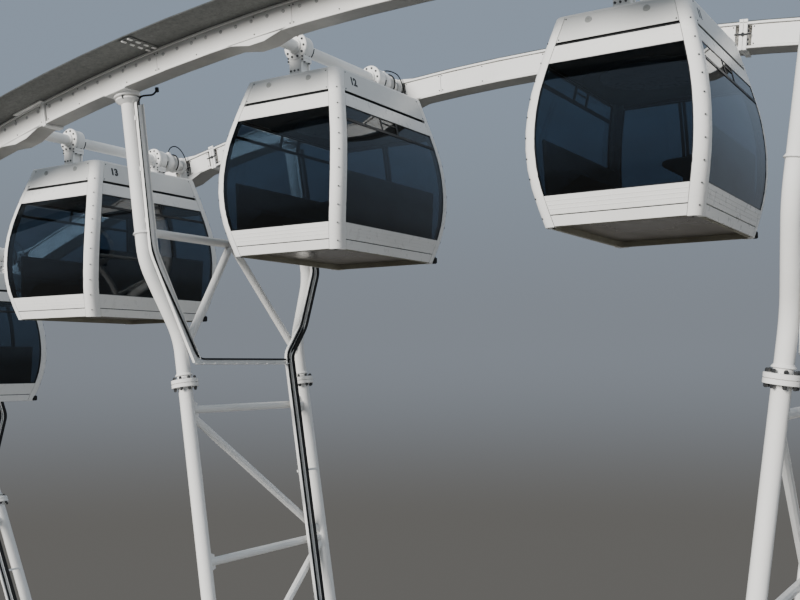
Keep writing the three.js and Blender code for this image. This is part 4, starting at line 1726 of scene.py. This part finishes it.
def tie_joint(shape, bolts, side, hand):
    """Where the tie meets a leg: bolted flanges and gussets over and under it. Gives the place."""
    top, foot = leg_axis(side, hand)
    at = top.lerp(foot, 1 - tie_height / top.z)
    inward = Vector((-hand, 0, 0))
    inner, outer = tie_radius - 0.01, tie_radius + 0.05
    for start in (0.52, 0.556):
        shape.turned(cut_rectangle(inner, start, outer, start + 0.032), at, inward, 32, True)
    for angle in even_turns(12):
        spot = at + Vector((0, math.sin(angle), math.cos(angle))) * tie_bolt_circle
        bolts.head(spot + inward * 0.588, inward, 0.014)
        bolts.head(spot + inward * 0.52, -inward, 0.014)
    lean = (top - foot).normalized()
    for way in (-1, 1):
        base = at + lean * (way * inner / lean.z)
        tip = at + lean * (way * 0.42 / lean.z)
        end = at + inward * 0.46 + Vector((0, 0, way * inner))
        ring = [base, end, end + Vector((0, 0, way * 0.02)), tip + inward * 0.30, tip]
        shape.skin([[point + Vector((0, depth, 0)) for point in ring] for depth in (-0.01, 0.01)])
    return at


def make_support(name, side):
    """Two splayed legs with a box head, a tie between them and the bearing on top."""
    shape = Shape()
    bolts = Shape()
    support_head(shape, side)
    for hand in (-1, 1):
        leg(shape, bolts, side, hand)
    ends = [tie_joint(shape, bolts, side, hand) for hand in (-1, 1)]
    shape.rod(ends[0], ends[1], tie_radius, 36)
    bolts.take(housing_bolts(side), [Matrix.Translation(hub)])
    fit_fixed(f"a_frame_{name}", shape, "frame_white", stands_for=(f"a_frame_{name}",))
    fit_fixed(f"bearing_{name}", housing(side), "frame_white", hub, (f"bearing_{name}",))
    fit_fixed(f"a_frame_{name}_bolts", bolts, "bare_steel")


# Boarding platform


def deck_plates():
    """Deck panels with narrow seams, and the treads of both stairs with their ribs."""
    shape = Shape()
    columns, rows = 10, 4
    length, width = 2 * deck_half_x / columns, 2 * deck_half_y / rows
    for i in range(columns):
        for j in range(rows):
            x = length * i - deck_half_x + 0.002
            y = width * j - deck_half_y + 0.002
            far_corner = (x + length - 0.004, y + width - 0.004, deck_top)
            shape.block((x, y, deck_top - deck_plate), far_corner, 0.0015)
    for hand in (-1, 1):
        for step in range(1, riser_count + 1):
            start = deck_half_x + (riser_count - step) * going
            end = start + going
            z = riser * step
            half = stair_half - 0.02
            shape.block((hand * (start - 0.02), -half, z - 0.022), (hand * end, half, z), 0.003)
            for k in range(3):
                edge = hand * (end - 0.02 - 0.022 * k)
                half = stair_half - 0.05
                shape.block((edge - 0.004, -half, z - 0.001), (edge + 0.004, half, z + 0.002))
    return shape


def i_beam(shape, start, end, height, width, flange=0.012):
    """A rolled beam along X or Y. Start and end are on its top face's middle line."""
    start, end = Vector(start), Vector(end)
    along = (end - start).normalized()
    across = Vector(upward).cross(along)
    web = flange * 0.35
    half = width / 2
    low = flange - height
    outline = [
        (-half, 0), (half, 0), (half, -flange), (web, -flange), (web, low), (half, low), (half, -height),
        (-half, -height), (-half, low), (-web, low), (-web, -flange), (-half, -flange),
    ]
    shape.skin([[point + across * u + Vector((0, 0, v)) for u, v in outline] for point in (start, end)])


def deck_frame():
    """Beams, posts and sills under the deck, and the strings of the stairs."""
    shape = Shape()
    under = deck_top - deck_plate
    end_x, end_y = deck_half_x - 0.005, deck_half_y - 0.03
    for y in (-end_y, 0.0, end_y):
        i_beam(shape, (-end_x, y, under), (end_x, y, under), 0.115, 0.058)
    for i in range(11):
        x = (deck_half_x - 0.03) * (i / 5 - 1)
        i_beam(shape, (x, -end_y, under), (x, end_y, under), 0.085, 0.05)
    bearer = under - 0.085
    for x in (-post_x, 0.0, post_x):
        i_beam(shape, (x, -deck_half_y + 0.01, bearer), (x, deck_half_y - 0.01, bearer), 0.09, 0.08)
        for y in (-post_y, post_y):
            shape.block((x - 0.05, y - 0.05, sill_height), (x + 0.05, y + 0.05, under - 0.173), 0.008)
            for z in (sill_height - 0.001, under - 0.19):
                shape.block((x - 0.085, y - 0.085, z), (x + 0.085, y + 0.085, z + 0.016), 0.002)
    low, high = sill_height + 0.12, under - 0.25
    for x0, x1 in ((-post_x + 0.05, -0.05), (0.05, post_x - 0.05)):
        for y in (-post_y, post_y):
            shape.rod((x0, y, low), (x1, y, high), 0.017, 10)
            shape.rod((x0, y + 0.036, high), (x1, y + 0.036, low), 0.017, 10)
    sills(shape)
    strings(shape)
    return shape


def sills(shape):
    """The beams on the ground that carry the posts and end at the feet."""
    end_x = foot_x - 0.09
    for hand in (-1, 1):
        x, y = hand * foot_x, hand * post_y
        start, end = (x, -sill_reach, sill_height), (x, sill_reach, sill_height)
        i_beam(shape, start, end, sill_height, sill_width, 0.016)
        i_beam(shape, (-end_x, y, sill_height), (end_x, y, sill_height), sill_height, sill_width, 0.016)
        for rib in (-4.6, -post_x, -1.4, 0.0, 1.4, post_x, 4.6):
            shape.block((rib - 0.006, y - 0.082, 0.012), (rib + 0.006, y + 0.082, sill_height - 0.012))
        for side in (-1, 1):
            plate_end = (x + 0.09, side * sill_reach, sill_height)
            shape.block((x - 0.09, side * (sill_reach - 0.018), 0.0), plate_end, 0.002)


def strings(shape):
    """The side plates and the risers of both stairs."""
    foot = deck_half_x + riser_count * going
    outline = [
        (deck_half_x - 0.02, deck_top - 0.30), (deck_half_x - 0.02, deck_top - 0.015),
        (deck_half_x + 0.02, deck_top - 0.015), (foot, riser * 0.98), (foot, 0.0), (foot - 0.22, 0.0),
    ]
    half = stair_half - 0.02
    for hand in (-1, 1):
        edge = [(hand * x, z) for x, z in outline]
        for side in (-1, 1):
            shape.plate(edge, side * (stair_half - 0.018), side * stair_half, 0.002)
        for step in range(riser_count + 1):
            x = foot - step * going
            top = riser * (step + 1) - 0.02
            shape.block((hand * (x - 0.006), -half, riser * step), (hand * x, half, top))


def rail(shape, corners, bend, level):
    """One rail through corners, thick if it is the top one."""
    radius = thin_rail_radius if level < rail_height else rail_radius
    shape.tube(bent([Vector(corner) for corner in corners], bend), radius, 12)


def upright(shape, x, y, low, high, radius=stanchion_radius):
    """A round post of the rails."""
    shape.rod((x, y, low), (x, y, high), radius, 12)


def handrails():
    """Tubular rails along both sides of the deck, at its corners and down the stairs."""
    shape = Shape()
    end_x = deck_half_x - 0.045
    top = deck_top + rail_height
    for side in (-1, 1):
        side_y = side * (deck_half_y - 0.045)
        gate_y = side * (stair_half + 0.02)
        for x in (-end_x, end_x):
            for level in bar_levels:
                z = deck_top + level
                rail(shape, [(0, side_y, z), (x, side_y, z), (x, gate_y, z)], 0.06, level)
            upright(shape, x, gate_y, deck_top, top + 0.012, rail_radius)
            upright(shape, x, side_y, deck_top, deck_top + 0.5)
        for i in range(9):
            x = (deck_half_x - 0.3) * (i / 4 - 1)
            upright(shape, x, side_y, deck_top, top)
            shape.turned([(0.036, 0.0), (0.036, 0.006), (0.02, 0.009)], (x, side_y, deck_top), upward, 12)
        kick = (deck_half_x - 0.02, side_y + side * 0.034, deck_top + 0.07)
        shape.block((0.02 - deck_half_x, side_y + side * 0.028, deck_top), kick)
    foot = deck_half_x + (riser_count - 0.6) * going
    start = deck_half_x + 0.06
    drop = deck_top - riser * 1.3
    for hand in (-1, 1):
        for side in (-1, 1):
            y = side * (stair_half - 0.028)
            for level in (0.28, rail_height):
                high = deck_top + level
                low = high - drop
                corners = [(end_x + 0.02, high), (start, high), (foot, low), (foot + 0.12, low)]
                rail(shape, [(hand * x, y, z) for x, z in corners], 0.05, level)
            for share in (0.06, 0.36, 0.66, 0.97):
                base = deck_top - drop * share
                x = hand * (start + (foot - start) * share)
                upright(shape, x, y, max(base - 0.12, 0.02), base + rail_height)
    return shape


def platform_bolts():
    """Nuts on the post plates and along both long sills."""
    shape = Shape()
    for x in (-post_x, 0.0, post_x):
        for y in (-post_y, post_y):
            for dx, dy in cut_rectangle(-0.067, -0.067, 0.067, 0.067):
                nut = [(0.014, 0.0), (0.014, 0.012), (0.007, 0.013), (0.007, 0.026)]
                shape.turned(nut, (x + dx, y + dy, sill_height + 0.015), upward, 6)
    for x in (-4.4, -3.6, -2.2, -0.8, 0.8, 2.2, 3.6, 4.4):
        for y in (-post_y, post_y):
            for dy in (-0.055, 0.055):
                nut = [(0.013, 0.0), (0.013, 0.012), (0.007, 0.013), (0.007, 0.024)]
                shape.turned(nut, (x, y + dy, 0.016), upward, 6)
    return shape


def make_platform():
    """The boarding platform, which stands on the ground between the supports."""
    name = "boarding_platform"
    fit_fixed(name, deck_frame(), "galvanised", stands_for=(name,))
    fit_fixed(f"{name}_deck", deck_plates(), "deck_metal")
    fit_fixed(f"{name}_rails", handrails(), "galvanised")
    fit_fixed(f"{name}_bolts", platform_bolts(), "bare_steel")


# Room, camera and light


def make_stage():
    """A round pale floor under the wheel."""
    shape = Shape()
    shape.turned([(floor_radius, level) for level in floor_levels], origin, upward, 96)
    finish = Finish("floor_paint")
    finish.colour(finish.mixed(finish.noise(0.05), (0.52, 0.52, 0.51), (0.56, 0.56, 0.55)))
    finish.set(roughness=0.8)
    floor = bpy.data.objects.new("floor", made(shape, "floor", finish.material))
    bpy.context.scene.collection.objects.link(floor)


def make_surround():
    """An even surround: dim and warm below, pale blue at eye level, bright overhead."""
    world = bpy.data.worlds.new("surround")
    world.use_nodes = True
    nodes = world.node_tree.nodes
    links = world.node_tree.links
    direction = nodes.new("ShaderNodeTexCoord")
    split = nodes.new("ShaderNodeSeparateXYZ")
    span = nodes.new("ShaderNodeMapRange")
    ramp = nodes.new("ShaderNodeValToRGB")
    background = nodes["Background"]
    span.inputs["From Min"].default_value = -1.0
    links.new(direction.outputs["Generated"], split.inputs["Vector"])
    links.new(split.outputs["Z"], span.inputs["Value"])
    links.new(span.outputs["Result"], ramp.inputs["Fac"])
    links.new(ramp.outputs["Color"], background.inputs["Color"])
    ramp.color_ramp.interpolation = "EASE"
    stops = ramp.color_ramp.elements
    for level, colour in surround_stops[1:-1]:
        stops.new((level + 1) / 2)
    for stop, (level, colour) in zip(stops, surround_stops):
        stop.position = (level + 1) / 2
        stop.color = (*colour, 1.0)
    bpy.context.scene.world = world


def soft_light(name, direction, strength, colour, spread):
    """A broad light from far off, left out of mirror images so that the panes stay clear."""
    light = bpy.data.lights.new(name, "SUN")
    light.energy = strength
    light.color = colour
    light.angle = spread
    lamp = bpy.data.objects.new(name, light)
    lamp.rotation_euler = Vector(direction).to_track_quat("Z", "Y").to_euler()
    lamp.visible_glossy = False
    lamp.visible_transmission = False
    bpy.context.scene.collection.objects.link(lamp)


def make_lights():
    """A warm key, low in front, and a cool fill from the right."""
    soft_light("key", key_direction, key_strength, key_colour, key_spread)
    soft_light("fill", fill_direction, fill_strength, fill_colour, fill_spread)


def make_camera():
    """The camera stands where the photograph was taken."""
    data = bpy.data.cameras.new("camera")
    data.lens = camera_lens
    data.sensor_width = camera_sensor
    data.clip_end = camera_reach
    camera = bpy.data.objects.new("camera", data)
    camera.location = camera_place
    aim = Vector(camera_forward).to_track_quat("-Z", "Y")
    camera.rotation_mode = "QUATERNION"
    camera.rotation_quaternion = aim @ Quaternion((0, 0, 1), camera_roll)
    bpy.context.scene.collection.objects.link(camera)
    bpy.context.scene.camera = camera


make_camera()
make_cabins()
for rim_name, rim_side in (("front", -1), ("back", 1)):
    make_rim(f"rim_{rim_name}", rim_side)
    make_band(f"drive_band_{rim_name}", rim_side)
make_spokes()
make_hub()
for side_name, side_way in (("front", -1), ("back", 1)):
    make_support(side_name, side_way)
make_platform()
make_stage()
make_surround()
make_lights()
